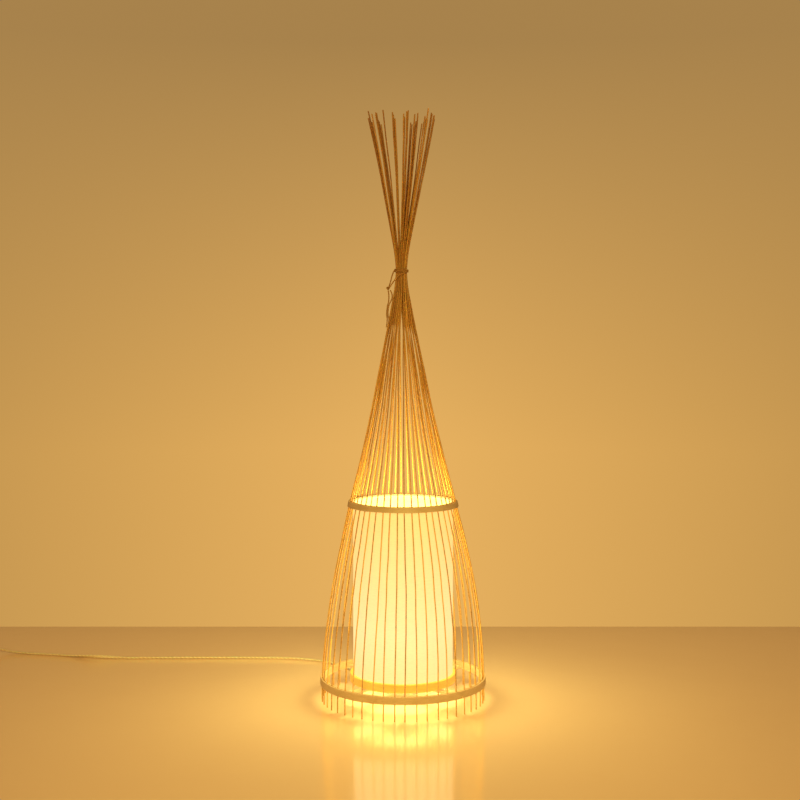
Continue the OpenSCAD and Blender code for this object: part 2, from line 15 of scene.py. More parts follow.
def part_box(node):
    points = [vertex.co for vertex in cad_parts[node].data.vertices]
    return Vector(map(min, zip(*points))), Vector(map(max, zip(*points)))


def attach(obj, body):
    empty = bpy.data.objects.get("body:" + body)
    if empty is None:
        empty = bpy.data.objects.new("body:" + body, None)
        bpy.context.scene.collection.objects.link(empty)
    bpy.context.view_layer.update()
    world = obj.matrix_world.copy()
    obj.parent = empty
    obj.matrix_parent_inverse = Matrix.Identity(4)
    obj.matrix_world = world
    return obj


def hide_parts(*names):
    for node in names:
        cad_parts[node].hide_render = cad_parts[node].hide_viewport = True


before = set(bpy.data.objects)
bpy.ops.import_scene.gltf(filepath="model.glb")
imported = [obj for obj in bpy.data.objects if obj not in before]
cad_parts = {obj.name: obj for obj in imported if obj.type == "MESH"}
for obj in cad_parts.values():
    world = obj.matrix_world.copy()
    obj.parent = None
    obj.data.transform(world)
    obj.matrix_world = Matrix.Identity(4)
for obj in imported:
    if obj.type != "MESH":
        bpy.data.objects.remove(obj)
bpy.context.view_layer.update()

LOG = logging.getLogger("sheaf_lamp")
MM = 0.001
TURN = 2 * math.pi

BLACK = (0.0, 0.0, 0.0)

Colour = tuple[float, float, float]
Socket = bpy.types.NodeSocket
Value = Socket | float | tuple
Given = bpy.types.bpy_prop_collection


class Body(Enum):
    """Bodies of the frame that the new pieces ride on."""

    LAMP = "lamp"
    TIP = "bulb_tip"
    BULB = "bulb"


class Slot(Enum):
    """Material slots of the record."""

    SPLINT = "bamboo_splint"
    STRIP = "bamboo_strip"
    RING = "shade_ring"
    SKIN = "shade_skin"
    BRASS = "brass"
    HOLDER = "holder_moulding"
    TIP = "solder_tip"
    BLACK_GLASS = "black_glass"
    CAP = "bulb_cap"
    GLASS = "bulb_glass"
    TWINE = "twine"
    FLEX = "cord_sleeve"
    PLUG = "plug_moulding"
    PIN = "pin_metal"


# ---------------------------------------------------------------- shapes


@dataclass
class Shape:
    """Points and faces of one piece, with its fibre coordinates and tones.

    The fibre coordinates run across the fibres in x and y and along them in z.
    """

    points: np.ndarray
    faces: list[tuple[int, ...]]
    grain: np.ndarray
    tone: np.ndarray

    @staticmethod
    def join(shapes: Sequence["Shape"]) -> "Shape":
        """Puts several shapes into one.

        Args:
            shapes: The shapes, in the order that their points are kept.

        Returns:
            One shape that holds them all.
        """
        faces: list[tuple[int, ...]] = []
        start = 0
        for shape in shapes:
            faces += [tuple(i + start for i in face) for face in shape.faces]
            start += len(shape.points)
        return Shape(
            np.vstack([s.points for s in shapes]),
            faces,
            np.vstack([s.grain for s in shapes]),
            np.concatenate([s.tone for s in shapes]),
        )

    def moved(self, matrix: Matrix) -> "Shape":
        """Returns the shape with its points put through a 4 by 4 matrix."""
        m = np.array(matrix)
        return Shape(self.points @ m[:3, :3].T + m[:3, 3], self.faces, self.grain, self.tone)

    def make(self, name: str, crease_deg: float = 40.0) -> bpy.types.Object:
        """Makes the shape into an object.

        Args:
            name: The object's name.
            crease_deg: Edges that turn more sharply than this stay crisp.

        Returns:
            The new object, linked to the scene.
        """
        mesh = bpy.data.meshes.new(name)
        mesh.from_pydata(self.points.tolist(), [], self.faces)
        grain = mesh.attributes.new("grain", "FLOAT_VECTOR", "POINT")
        grain.data.foreach_set("vector", self.grain.astype(np.float32).ravel())
        tone = mesh.attributes.new("tone", "FLOAT", "POINT")
        tone.data.foreach_set("value", self.tone.astype(np.float32))
        work = bmesh.new()
        work.from_mesh(mesh)
        bmesh.ops.remove_doubles(work, verts=work.verts, dist=1e-7)
        bmesh.ops.recalc_face_normals(work, faces=work.faces)
        work.to_mesh(mesh)
        work.free()
        mesh.validate()
        mesh.shade_smooth()
        mesh.set_sharp_from_angle(angle=math.radians(crease_deg))
        made = bpy.data.objects.new(name, mesh)
        bpy.context.scene.collection.objects.link(made)
        return made


def unit(rows: np.ndarray) -> np.ndarray:
    """Returns the rows scaled to length one."""
    return rows / np.maximum(np.linalg.norm(rows, axis=-1, keepdims=True), 1e-12)


def run_length(path: np.ndarray) -> np.ndarray:
    """Returns the distance along a path at each of its points."""
    return np.concatenate([[0.0], np.cumsum(np.linalg.norm(np.diff(path, axis=0), axis=1))])


def smooth_path(points: Sequence[Sequence[float]], step: float) -> np.ndarray:
    """Lays a smooth curve through a route's points.

    Args:
        points: The route, at least two points.
        step: Distance between the points that come out.

    Returns:
        Evenly spaced points on the curve, ends included.
    """
    p = np.asarray(points, float)
    ends = np.vstack([2 * p[0] - p[1], p, 2 * p[-1] - p[-2]])
    fine = []
    for a, b, c, d in zip(ends, ends[1:], ends[2:], ends[3:]):
        t = np.linspace(0, 1, 24, endpoint=False)[:, None]
        fine.append(0.5 * (2 * b + (c - a) * t + (2 * a - 5 * b + 4 * c - d) * t**2 + (3 * b - a - 3 * c + d) * t**3))
    line = np.vstack([*fine, p[-1:]])
    s = run_length(line)
    even = np.linspace(0, s[-1], max(2, round(s[-1] / step) + 1))
    return np.column_stack([np.interp(even, s, line[:, k]) for k in range(3)])


def carried_frames(path: np.ndarray, up: Sequence[float]) -> tuple[np.ndarray, np.ndarray]:
    """Carries a pair of side directions along a path without turning them about it.

    Args:
        path: The path's points.
        up: Roughly the second side direction at the start.

    Returns:
        The first and second side directions at each point.
    """
    along = unit(np.gradient(path, axis=0))
    side = unit(np.cross(along[0], np.asarray(up, float)))
    first = []
    for t in along:
        side = unit(side - t * (side @ t))
        first.append(side)
    firsts = np.array(first)
    return firsts, np.cross(firsts, along)


def level_frames(path: np.ndarray) -> tuple[np.ndarray, np.ndarray]:
    """Finds side directions that stay level along a path that never stands upright.

    Args:
        path: The path's points.

    Returns:
        The level directions, and the directions square to them and to the path.
    """
    along = unit(np.gradient(path, axis=0))
    level = unit(np.cross(along, [0.0, 0.0, 1.0]))
    return level, np.cross(level, along)


def turned(section: np.ndarray, angle: np.ndarray) -> np.ndarray:
    """Turns a section by an angle at each point of a path.

    Args:
        section: Points by rings, or one ring, in the two side directions.
        angle: One angle for each ring.

    Returns:
        The turned rings.
    """
    rings = np.broadcast_to(section, (len(angle), *section.shape[-2:]))
    c, s = np.cos(angle)[:, None], np.sin(angle)[:, None]
    return np.stack([rings[..., 0] * c - rings[..., 1] * s, rings[..., 0] * s + rings[..., 1] * c], -1)


def sweep(
    path: np.ndarray,
    section: np.ndarray,
    frames: tuple[np.ndarray, np.ndarray],
    tone: float | np.ndarray = 0.5,
    grain_start: float = 0.0,
) -> Shape:
    """Carries a section along a path and closes both ends.

    Args:
        path: The path's points.
        section: One ring of points, or one for each point of the path.
        frames: The two side directions at each point of the path.
        tone: How light the piece is, from 0 to 1, all over or ring by ring.
        grain_start: Where along its fibres the piece starts.

    Returns:
        The closed shape.
    """
    n = len(path)
    rings = np.broadcast_to(section, (n, *section.shape[-2:]))
    m = rings.shape[1]
    u, v = frames
    points = path[:, None] + rings[..., :1] * u[:, None] + rings[..., 1:] * v[:, None]
    s = run_length(path) + grain_start
    grain = np.concatenate([rings, np.broadcast_to(s[:, None, None], (n, m, 1))], -1)
    i = np.arange(n - 1)[:, None] * m
    k = np.arange(m)[None]
    quads = np.stack([i + k, i + (k + 1) % m, i + m + (k + 1) % m, i + m + k], -1).reshape(-1, 4)
    faces = [tuple(q) for q in quads.tolist()]
    faces += [tuple(range(m))[::-1], tuple(range((n - 1) * m, n * m))]
    tones = np.broadcast_to(np.asarray(tone, float).reshape(-1, 1), (n, m))
    return Shape(points.reshape(-1, 3), faces, grain.reshape(-1, 3), tones.reshape(-1).copy())


def ring_of(count: int, radius: float = 1.0, power: float = 2.0, turn: float = 0.0) -> np.ndarray:
    """Makes the points of a round or squarish section.

    Args:
        count: Number of points.
        radius: Half its width.
        power: 2 is round, and more is squarer.
        turn: Angle of the first point.

    Returns:
        The points, one row each.
    """
    a = np.arange(count) * TURN / count + turn
    c, s = np.cos(a), np.sin(a)
    reach = (np.abs(c) ** power + np.abs(s) ** power) ** (-1 / power)
    return radius * np.column_stack([c * reach, s * reach])


def eased(profile: Sequence[Sequence[float]], radius: float, steps: int = 3) -> np.ndarray:
    """Rounds the corners of a closed outline.

    Args:
        profile: The outline's corners.
        radius: How far from a corner its rounding starts.
        steps: Points for each rounded corner.

    Returns:
        The rounded outline.
    """
    p = np.asarray(profile, float)
    out = []
    for before, corner, after in zip(np.roll(p, 1, 0), p, np.roll(p, -1, 0)):
        a, b = before - corner, after - corner
        la, lb = np.linalg.norm(a), np.linalg.norm(b)
        reach = min(radius, 0.45 * la, 0.45 * lb)
        start, end = corner + a / la * reach, corner + b / lb * reach
        for t in np.linspace(0, 1, steps):
            out.append((1 - t) ** 2 * start + 2 * t * (1 - t) * corner + t**2 * end)
    return np.array(out)


def lathe(outline: np.ndarray, count: int = 96, shift: Callable | None = None, tone: float = 0.5) -> Shape:
    """Turns a closed outline of radius and height about the upright axis.

    Args:
        outline: Rows of radius and height.
        count: Steps round the axis.
        shift: Gives the change of radius from radius, height and angle.
        tone: How light the piece is, from 0 to 1.

    Returns:
        The turned shape.
    """
    m = len(outline)
    angle = np.arange(count)[:, None] * TURN / count
    r = np.broadcast_to(outline[:, 0], (count, m)).copy()
    z = np.broadcast_to(outline[:, 1], (count, m))
    if shift is not None:
        r = np.maximum(r + np.where(r > 0, shift(r, z, angle), 0.0), 0.0)
    points = np.stack([r * np.cos(angle), r * np.sin(angle), z], -1)
    grain = np.stack([r, z, np.broadcast_to(angle * outline[:, 0].max(), r.shape)], -1)
    i = np.arange(count)[:, None]
    k = np.arange(m)[None]
    j, l = (i + 1) % count, (k + 1) % m
    quads = np.stack([i * m + k, j * m + k, j * m + l, i * m + l], -1).reshape(-1, 4)
    return Shape(
        points.reshape(-1, 3), [tuple(q) for q in quads.tolist()], grain.reshape(-1, 3), np.full(count * m, tone)
    )


def clear_of(value: np.ndarray, low: float, high: float) -> np.ndarray:
    """Returns a smooth rise from 0 at low to 1 at high."""
    t = np.clip((value - low) / (high - low), 0, 1)
    return t * t * (3 - 2 * t)


# ---------------------------------------------------------------- finishes


class Desk:
    """Places and joins the nodes of one node tree."""

    def __init__(self, tree: bpy.types.NodeTree) -> None:
        """Takes the tree and clears it.

        Args:
            tree: The node tree to work on.
        """
        self.tree = tree
        self.column = 0
        tree.nodes.clear()

    def node(self, kind: str, values: dict | None = None, **settings: object) -> bpy.types.Node:
        """Adds one node.

        Args:
            kind: The node's type name.
            values: Sockets by name or number, each with a value or a socket to join.
            settings: Properties of the node itself.

        Returns:
            The node.
        """
        made = self.tree.nodes.new(kind)
        self.column += 1
        made.location = (180 * (self.column % 9), -220 * (self.column // 9))
        for key, value in settings.items():
            setattr(made, key, value)
        for key, value in (values or {}).items():
            self.feed(made.inputs[key], value)
        return made

    def feed(self, target: Socket, value: Value) -> None:
        """Joins a socket to another, or sets its value.

        Args:
            target: The input socket.
            value: The socket to join it to, or its value.
        """
        if isinstance(value, bpy.types.NodeSocket):
            self.tree.links.new(value, target)
        elif isinstance(value, tuple) and len(value) == 3 and target.type == "RGBA":
            target.default_value = (*value, 1.0)
        else:
            target.default_value = value

    def maths(self, operation: str, *values: Value, clamp: bool = False) -> Socket:
        """Returns the result of a Math node."""
        made = self.node("ShaderNodeMath", dict(enumerate(values)), operation=operation, use_clamp=clamp)
        return made.outputs[0]

    def scaled(self, vector: Socket, by: tuple | Socket) -> Socket:
        """Returns a vector times another."""
        return self.node("ShaderNodeVectorMath", {0: vector, 1: by}, operation="MULTIPLY").outputs[0]

    def noise(self, vector: Socket, scale: float | Socket, detail: float = 3.0, rough: float = 0.5) -> Socket:
        """Returns a noise value from 0 to 1."""
        values = {"Vector": vector, "Scale": scale, "Detail": detail, "Roughness": rough}
        return self.node("ShaderNodeTexNoise", values).outputs[0]

    def spread(self, value: Socket, low: float, high: float, to: tuple = (0.0, 1.0)) -> Socket:
        """Returns a value stretched from one range to another, and kept inside it."""
        values = {0: value, 1: low, 2: high, 3: to[0], 4: to[1]}
        return self.node("ShaderNodeMapRange", values, clamp=True).outputs[0]

    def group(self, tree: bpy.types.NodeTree, values: dict) -> Given:
        """Returns the outputs of a shared effect's group, placed with its own values."""
        return self.node("ShaderNodeGroup", values, node_tree=tree).outputs

    def mix(self, share: Socket | float, a: Value, b: Value) -> Socket:
        """Mixes two colours.

        Args:
            share: From 0, all of the first, to 1, all of the second.
            a: The first colour.
            b: The second colour.

        Returns:
            The mixed colour.
        """
        made = self.node("ShaderNodeMix", data_type="RGBA")
        self.feed(made.inputs[0], share)
        self.feed(made.inputs[6], a)
        self.feed(made.inputs[7], b)
        return made.outputs[2]

    def attribute(self, name: str) -> bpy.types.Node:
        """Returns the node that reads one of a mesh's attributes."""
        return self.node("ShaderNodeAttribute", attribute_name=name)

    def bump(self, height: Socket, depth: float, strength: float = 1.0) -> Socket:
        """Returns the normal of a surface raised by a height."""
        return self.node("ShaderNodeBump", {"Height": height, "Distance": depth, "Strength": strength}).outputs[0]


class Effects:
    """Effects that several finishes share, each built once as a node group."""

    made: dict[str, bpy.types.NodeTree] = {}

    @classmethod
    def group(cls, name: str, ins: Sequence[tuple], outs: Sequence[tuple], fill: Callable) -> bpy.types.NodeTree:
        """Builds a group once, and returns it each time it is asked for.

        Args:
            name: The group's name.
            ins: Name, socket type and default of each input.
            outs: Name and socket type of each output.
            fill: Gets the desk and the inputs, and returns the outputs by name.

        Returns:
            The group.
        """
        if name not in cls.made:
            tree = bpy.data.node_groups.new(name, "ShaderNodeTree")
            for label, kind, default in ins:
                socket = tree.interface.new_socket(label, in_out="INPUT", socket_type=kind)
                if default is not None:
                    socket.default_value = default
            for label, kind in outs:
                tree.interface.new_socket(label, in_out="OUTPUT", socket_type=kind)
            desk = Desk(tree)
            entry = desk.node("NodeGroupInput")
            exits = desk.node("NodeGroupOutput")
            for label, socket in fill(desk, entry.outputs).items():
                desk.feed(exits.inputs[label], socket)
            cls.made[name] = tree
        return cls.made[name]

    @classmethod
    def fibres(cls) -> bpy.types.NodeTree:
        """Bamboo fibres: fine streaks, pores and slow patches of tone, along the fibre direction.

        Returns:
            The group.
        """

        def fill(desk: Desk, given: Given) -> dict[str, Socket]:
            """Makes the fibres' colour, roughness and height.

            Args:
                desk: The group's desk.
                given: The group's inputs.

            Returns:
                The outputs by name.
            """
            stretched = desk.scaled(given["Grain"], (1.0, 1.0, 0.03))
            fine = desk.noise(stretched, given["Fineness"], 4.0, 0.6)
            pores = desk.noise(desk.scaled(given["Grain"], (1.0, 1.0, 0.09)), given["Fineness"], 1.0)
            slow = desk.noise(desk.scaled(given["Grain"], (1.0, 1.0, 0.35)), 90.0, 2.0)
            pore = desk.spread(pores, 0.62, 0.72)
            streak = desk.spread(fine, 0.32, 0.68)
            lift = desk.maths("ADD", desk.maths("MULTIPLY", streak, 0.5), desk.maths("MULTIPLY", slow, 0.5))
            lift = desk.maths("ADD", lift, desk.maths("MULTIPLY", desk.maths("SUBTRACT", given["Tone"], 0.5), 0.7))
            lift = desk.maths("SUBTRACT", lift, desk.maths("MULTIPLY", pore, 0.35), clamp=True)
            colour = desk.mix(lift, given["Dark"], given["Light"])
            rough = desk.spread(fine, 0.3, 0.7, (0.42, 0.66))
            height = desk.maths("SUBTRACT", fine, desk.maths("MULTIPLY", pore, 0.5))
            return {"Color": colour, "Roughness": rough, "Height": height}

        ins = [
            ("Grain", "NodeSocketVector", None), ("Fineness", "NodeSocketFloat", 2500.0),
            ("Tone", "NodeSocketFloat", 0.5), ("Dark", "NodeSocketColor", None), ("Light", "NodeSocketColor", None),
        ]
        outs = [("Color", "NodeSocketColor"), ("Roughness", "NodeSocketFloat"), ("Height", "NodeSocketFloat")]
        return cls.group("bamboo_fibres", ins, outs, fill)

    @classmethod
    def wear(cls) -> bpy.types.NodeTree:
        """Handling wear: lighter or darker rubbed edges, broken up by noise.

        Returns:
            The group.
        """

        def fill(desk: Desk, given: Given) -> dict[str, Socket]:
            """Makes the worn colour and its mask.

            Args:
                desk: The group's desk.
                given: The group's inputs.

            Returns:
                The outputs by name.
            """
            edge = desk.spread(desk.node("ShaderNodeNewGeometry").outputs["Pointiness"], 0.51, 0.58)
            patch = desk.spread(desk.noise(given["Vector"], given["Scale"], 3.0), 0.38, 0.62)
            mask = desk.maths("MULTIPLY", desk.maths("MULTIPLY", edge, patch), given["Amount"], clamp=True)
            return {"Color": desk.mix(mask, given["Color"], given["Worn"]), "Mask": mask}

        ins = [
            ("Vector", "NodeSocketVector", None), ("Scale", "NodeSocketFloat", 300.0),
            ("Amount", "NodeSocketFloat", 0.5), ("Color", "NodeSocketColor", None), ("Worn", "NodeSocketColor", None),
        ]
        return cls.group("edge_wear", ins, [("Color", "NodeSocketColor"), ("Mask", "NodeSocketFloat")], fill)

    @classmethod
    def mottle(cls) -> bpy.types.NodeTree:
        """Fine mottle and slow drift of a moulded or cast surface.

        Returns:
            The group.
        """

        def fill(desk: Desk, given: Given) -> dict[str, Socket]:
            """Makes the mottled colour, roughness and height.

            Args:
                desk: The group's desk.
                given: The group's inputs.

            Returns:
                The outputs by name.
            """
            fine = desk.noise(given["Vector"], given["Scale"], 2.0)
            slow = desk.noise(given["Vector"], desk.maths("MULTIPLY", given["Scale"], 0.06), 3.0)
            share = desk.maths("MULTIPLY", desk.maths("ADD", fine, slow), 0.5)
            share = desk.maths("MULTIPLY", desk.spread(share, 0.35, 0.65), given["Amount"])
            rough = desk.maths("ADD", given["Roughness"], desk.maths("MULTIPLY", slow, 0.14))
            return {"Color": desk.mix(share, given["Color"], given["Second"]), "Roughness": rough, "Height": fine}

        ins = [
            ("Vector", "NodeSocketVector", None), ("Scale", "NodeSocketFloat", 3000.0),
            ("Amount", "NodeSocketFloat", 0.5), ("Roughness", "NodeSocketFloat", 0.4),
            ("Color", "NodeSocketColor", None), ("Second", "NodeSocketColor", None),
        ]
        outs = [("Color", "NodeSocketColor"), ("Roughness", "NodeSocketFloat"), ("Height", "NodeSocketFloat")]
        return cls.group("moulding_mottle", ins, outs, fill)

    @classmethod
    def strands(cls) -> bpy.types.NodeTree:
        """Slanting strands, as of spun yarn or of copper seen through a clear sleeve.

        Returns:
            The group.
        """

        def fill(desk: Desk, given: Given) -> dict[str, Socket]:
            """Makes the strands' colour and height.

            Args:
                desk: The group's desk.
                given: The group's inputs.

            Returns:
                The outputs by name.
            """
            parts = desk.node("ShaderNodeSeparateXYZ", {0: given["Grain"]}).outputs
            around = desk.maths("ARCTAN2", parts[1], parts[0])
            climb = desk.maths("MULTIPLY", parts[2], given["Pitch"])
            phase = desk.maths("ADD", desk.maths("MULTIPLY", around, given["Count"]), climb)
            wave = desk.maths("ADD", desk.maths("MULTIPLY", desk.maths("SINE", phase), 0.5), 0.5)
            fuzz = desk.noise(desk.scaled(given["Grain"], (1.0, 1.0, 0.25)), 4200.0, 3.0)
            share = desk.maths("ADD", desk.maths("MULTIPLY", wave, 0.6), desk.maths("MULTIPLY", fuzz, 0.5))
            share = desk.maths("ADD", share, desk.maths("SUBTRACT", given["Tone"], 0.55), clamp=True)
            return {"Color": desk.mix(share, given["Dark"], given["Light"]), "Height": share}

        ins = [
            ("Grain", "NodeSocketVector", None), ("Count", "NodeSocketFloat", 5.0),
            ("Pitch", "NodeSocketFloat", 3000.0), ("Tone", "NodeSocketFloat", 0.5),
            ("Dark", "NodeSocketColor", None), ("Light", "NodeSocketColor", None),
        ]
        return cls.group("slanting_strands", ins, [("Color", "NodeSocketColor"), ("Height", "NodeSocketFloat")], fill)

    @classmethod
    def darker_near_ground(cls) -> bpy.types.NodeTree:
        """Darkens a piece's colour near the ground, in noisy patches.

        Returns:
            The group.
        """

        def fill(desk: Desk, given: Given) -> dict[str, Socket]:
            """Makes the colour darkened near the ground.

            Args:
                desk: The group's desk.
                given: The group's inputs.

            Returns:
                The outputs by name.
            """
            place = desk.node("ShaderNodeTexCoord").outputs["Object"]
            height = desk.node("ShaderNodeSeparateXYZ", {0: place}).outputs[2]
            low = desk.spread(height, 0.0, 0.016, (1.0, 0.0))
            patch = desk.spread(desk.noise(place, 260.0, 3.0), 0.35, 0.6)
            mask = desk.maths("MULTIPLY", desk.maths("MULTIPLY", low, patch), given["Amount"])
            return {"Color": desk.mix(mask, given["Color"], given["Ground Dark"])}

        ins = [
            ("Amount", "NodeSocketFloat", 0.5), ("Color", "NodeSocketColor", None), ("Ground Dark", "NodeSocketColor", None),
        ]
        return cls.group("darker_near_ground", ins, [("Color", "NodeSocketColor")], fill)


@dataclass(frozen=True)
class Finish:
    """A finish: a named material with a Principled shader."""

    name: str

    def dress(self, desk: Desk, shader: bpy.types.Node) -> None:
        """Joins the finish's own nodes to the shader."""
        raise NotImplementedError

    def material(self) -> bpy.types.Material:
        """Returns the material, built the first time that it is asked for."""
        made = bpy.data.materials.get(self.name)
        if made is None:
            made = bpy.data.materials.new(self.name)
            made.use_nodes = True
            desk = Desk(made.node_tree)
            shader = desk.node("ShaderNodeBsdfPrincipled")
            out = desk.node("ShaderNodeOutputMaterial")
            desk.feed(out.inputs["Surface"], shader.outputs[0])
            self.dress(desk, shader)
        return made


@dataclass(frozen=True)
class Bamboo(Finish):
    """Split bamboo, with fibres along the grain attribute or a turned object direction, and, where glow is set, painted
    lamplight.
    """

    light: Colour
    dark: Colour
    fineness: float = 2600.0
    depth: float = 0.00005
    # glow, with its tint and its fade by height, is painted lamplight that the bamboo emits from its own colour.
    glow: float = 0.0
    painted_glow_tint: Colour = (1.0, 1.0, 1.0)
    painted_glow_fades: tuple[float, float] | None = None
    turn_deg: float | None = None
    through: float = 0.0
    warm_reach: Colour = (1.0, 0.5, 0.16)
    reach: float = 1.6 * MM
    ground_darkening: float = 0.5

    def dress(self, desk: Desk, shader: bpy.types.Node) -> None:
        """Joins fibres, wear, darkening near the ground and, where set, painted lamplight to the shader.

        Args:
            desk: The material's desk.
            shader: Its Principled shader.
        """
        if self.turn_deg is None:
            grain = desk.attribute("grain").outputs["Vector"]
            tone = desk.attribute("tone").outputs["Fac"]
        else:
            place = desk.node("ShaderNodeTexCoord").outputs["Object"]
            turn = (0.0, math.radians(90), math.radians(self.turn_deg))
            turned_place = desk.node("ShaderNodeMapping", {"Vector": place}, vector_type="TEXTURE")
            turned_place.inputs["Rotation"].default_value = turn
            grain, tone = turned_place.outputs[0], 0.5
        given = {"Grain": grain, "Fineness": self.fineness, "Tone": tone, "Dark": self.dark, "Light": self.light}
        fibres = desk.group(Effects.fibres(), given)
        worn = tuple(min(1.0, c * 1.25) for c in self.light)
        given = {"Vector": grain, "Scale": 420.0, "Amount": 0.45, "Color": fibres["Color"], "Worn": worn}
        wear = desk.group(Effects.wear(), given)
        # Colour is darkened within 16 mm of the ground, broken up by noise.
        ground_dark = tuple(c * 0.4 for c in self.dark)
        ground_darkening = desk.group(Effects.darker_near_ground(), {"Amount": self.ground_darkening, "Color": wear["Color"], "Ground Dark": ground_dark})
        colour = ground_darkening["Color"]
        desk.feed(shader.inputs["Base Color"], colour)
        desk.feed(shader.inputs["Roughness"], fibres["Roughness"])
        desk.feed(shader.inputs["Normal"], desk.bump(fibres["Height"], self.depth))
        if self.through:
            shader.inputs["Subsurface Weight"].default_value = self.through
            shader.inputs["Subsurface Radius"].default_value = self.warm_reach
            shader.inputs["Subsurface Scale"].default_value = self.reach
        # Painted lamplight: the bamboo emits a tinted share of its colour, faded out with height where set, though it
        # is no lamp.
        if self.glow:
            colour = desk.scaled(colour, self.painted_glow_tint)
            if self.painted_glow_fades is not None:
                place = desk.node("ShaderNodeTexCoord").outputs["Object"]
                height = desk.node("ShaderNodeSeparateXYZ", {0: place}).outputs[2]
                colour = desk.mix(desk.spread(height, *self.painted_glow_fades), colour, BLACK)
            desk.feed(shader.inputs["Emission Color"], colour)
            shader.inputs["Emission Strength"].default_value = self.glow


@dataclass(frozen=True)
class LitSkin(Finish):
    """Translucent fibre skin, lit from inside: whiter by the bulb and yellower above."""

    near: Colour
    far: Colour
    strength: float
    base: Colour = (0.34, 0.29, 0.17)
    threaded: Colour = (0.28, 0.23, 0.12)
    bulb_height: float = 0.11
    fade: float = 0.17

    def dress(self, desk: Desk, shader: bpy.types.Node) -> None:
        """Joins the glow and the pressed fibres to the shader.

        Args:
            desk: The material's desk.
            shader: Its Principled shader.
        """
        grain = desk.attribute("grain").outputs["Vector"]
        cloud = desk.noise(desk.scaled(grain, (1.0, 1.0, 0.5)), 60.0, 4.0)
        threads = desk.noise(desk.scaled(grain, (1.0, 1.0, 0.12)), 900.0, 4.0, 0.7)
        height = desk.node("ShaderNodeSeparateXYZ", {0: desk.node("ShaderNodeTexCoord").outputs["Object"]}).outputs[2]
        far = desk.spread(desk.maths("ABSOLUTE", desk.maths("SUBTRACT", height, self.bulb_height)), 0.0, self.fade)
        glow = desk.mix(far, self.near, self.far)
        dimmed = desk.mix(0.86, BLACK, glow)
        glow = desk.mix(desk.spread(cloud, 0.3, 0.7, (0.0, 0.25)), glow, dimmed)
        glow = desk.mix(desk.spread(threads, 0.6, 0.75, (0.0, 0.35)), glow, dimmed)
        desk.feed(shader.inputs["Emission Color"], glow)
        shader.inputs["Emission Strength"].default_value = self.strength
        base = desk.mix(desk.spread(threads, 0.4, 0.7), self.base, self.threaded)
        desk.feed(shader.inputs["Base Color"], base)
        desk.feed(shader.inputs["Roughness"], desk.spread(threads, 0.3, 0.7, (0.55, 0.75)))
        desk.feed(shader.inputs["Normal"], desk.bump(threads, 0.00012))


@dataclass(frozen=True)
class Moulded(Finish):
    """Moulded plastic with mottle, rubbed edges and a fine orange peel."""

    colour: Colour
    second: Colour
    roughness: float = 0.35
    depth: float = 0.00003
    coat: float = 0.0

    def dress(self, desk: Desk, shader: bpy.types.Node) -> None:
        """Joins mottle and wear to the shader.

        Args:
            desk: The material's desk.
            shader: Its Principled shader.
        """
        place = desk.node("ShaderNodeTexCoord").outputs["Object"]
        given = {
            "Vector": place, "Scale": 2600.0, "Amount": 0.6, "Roughness": self.roughness,
            "Color": self.colour, "Second": self.second,
        }
        mottle = desk.group(Effects.mottle(), given)
        worn = tuple(min(1.0, c * 1.15 + 0.02) for c in self.colour)
        given = {"Vector": place, "Scale": 500.0, "Amount": 0.5, "Color": mottle["Color"], "Worn": worn}
        wear = desk.group(Effects.wear(), given)
        desk.feed(shader.inputs["Base Color"], wear["Color"])
        desk.feed(shader.inputs["Roughness"], mottle["Roughness"])
        desk.feed(shader.inputs["Normal"], desk.bump(mottle["Height"], self.depth))
        shader.inputs["Coat Weight"].default_value = self.coat


@dataclass(frozen=True)
class Metal(Finish):
    """Drawn or turned metal with fine lines, dull patches and bright edges."""

    colour: Colour
    dull: Colour
    roughness: float = 0.28

    def dress(self, desk: Desk, shader: bpy.types.Node) -> None:
        """Joins turning lines, tarnish and wear to the shader.

        Args:
            desk: The material's desk.
            shader: Its Principled shader.
        """
        place = desk.node("ShaderNodeTexCoord").outputs["Object"]
        lines = desk.noise(desk.scaled(place, (0.12, 0.12, 1.0)), 5200.0, 2.0)
        tarnish = desk.spread(desk.noise(place, 180.0, 4.0), 0.42, 0.68)
        colour = desk.mix(tarnish, self.colour, self.dull)
        bright = tuple(min(1.0, c * 1.2) for c in self.colour)
        given = {"Vector": place, "Scale": 700.0, "Amount": 0.7, "Color": colour, "Worn": bright}
        desk.feed(shader.inputs["Base Color"], desk.group(Effects.wear(), given)["Color"])
        shader.inputs["Metallic"].default_value = 1.0
        rough = desk.maths("ADD", self.roughness, desk.maths("MULTIPLY", tarnish, 0.2))
        desk.feed(shader.inputs["Roughness"], desk.maths("ADD", rough, desk.maths("MULTIPLY", lines, 0.1)))
        desk.feed(shader.inputs["Normal"], desk.bump(lines, 0.00002))


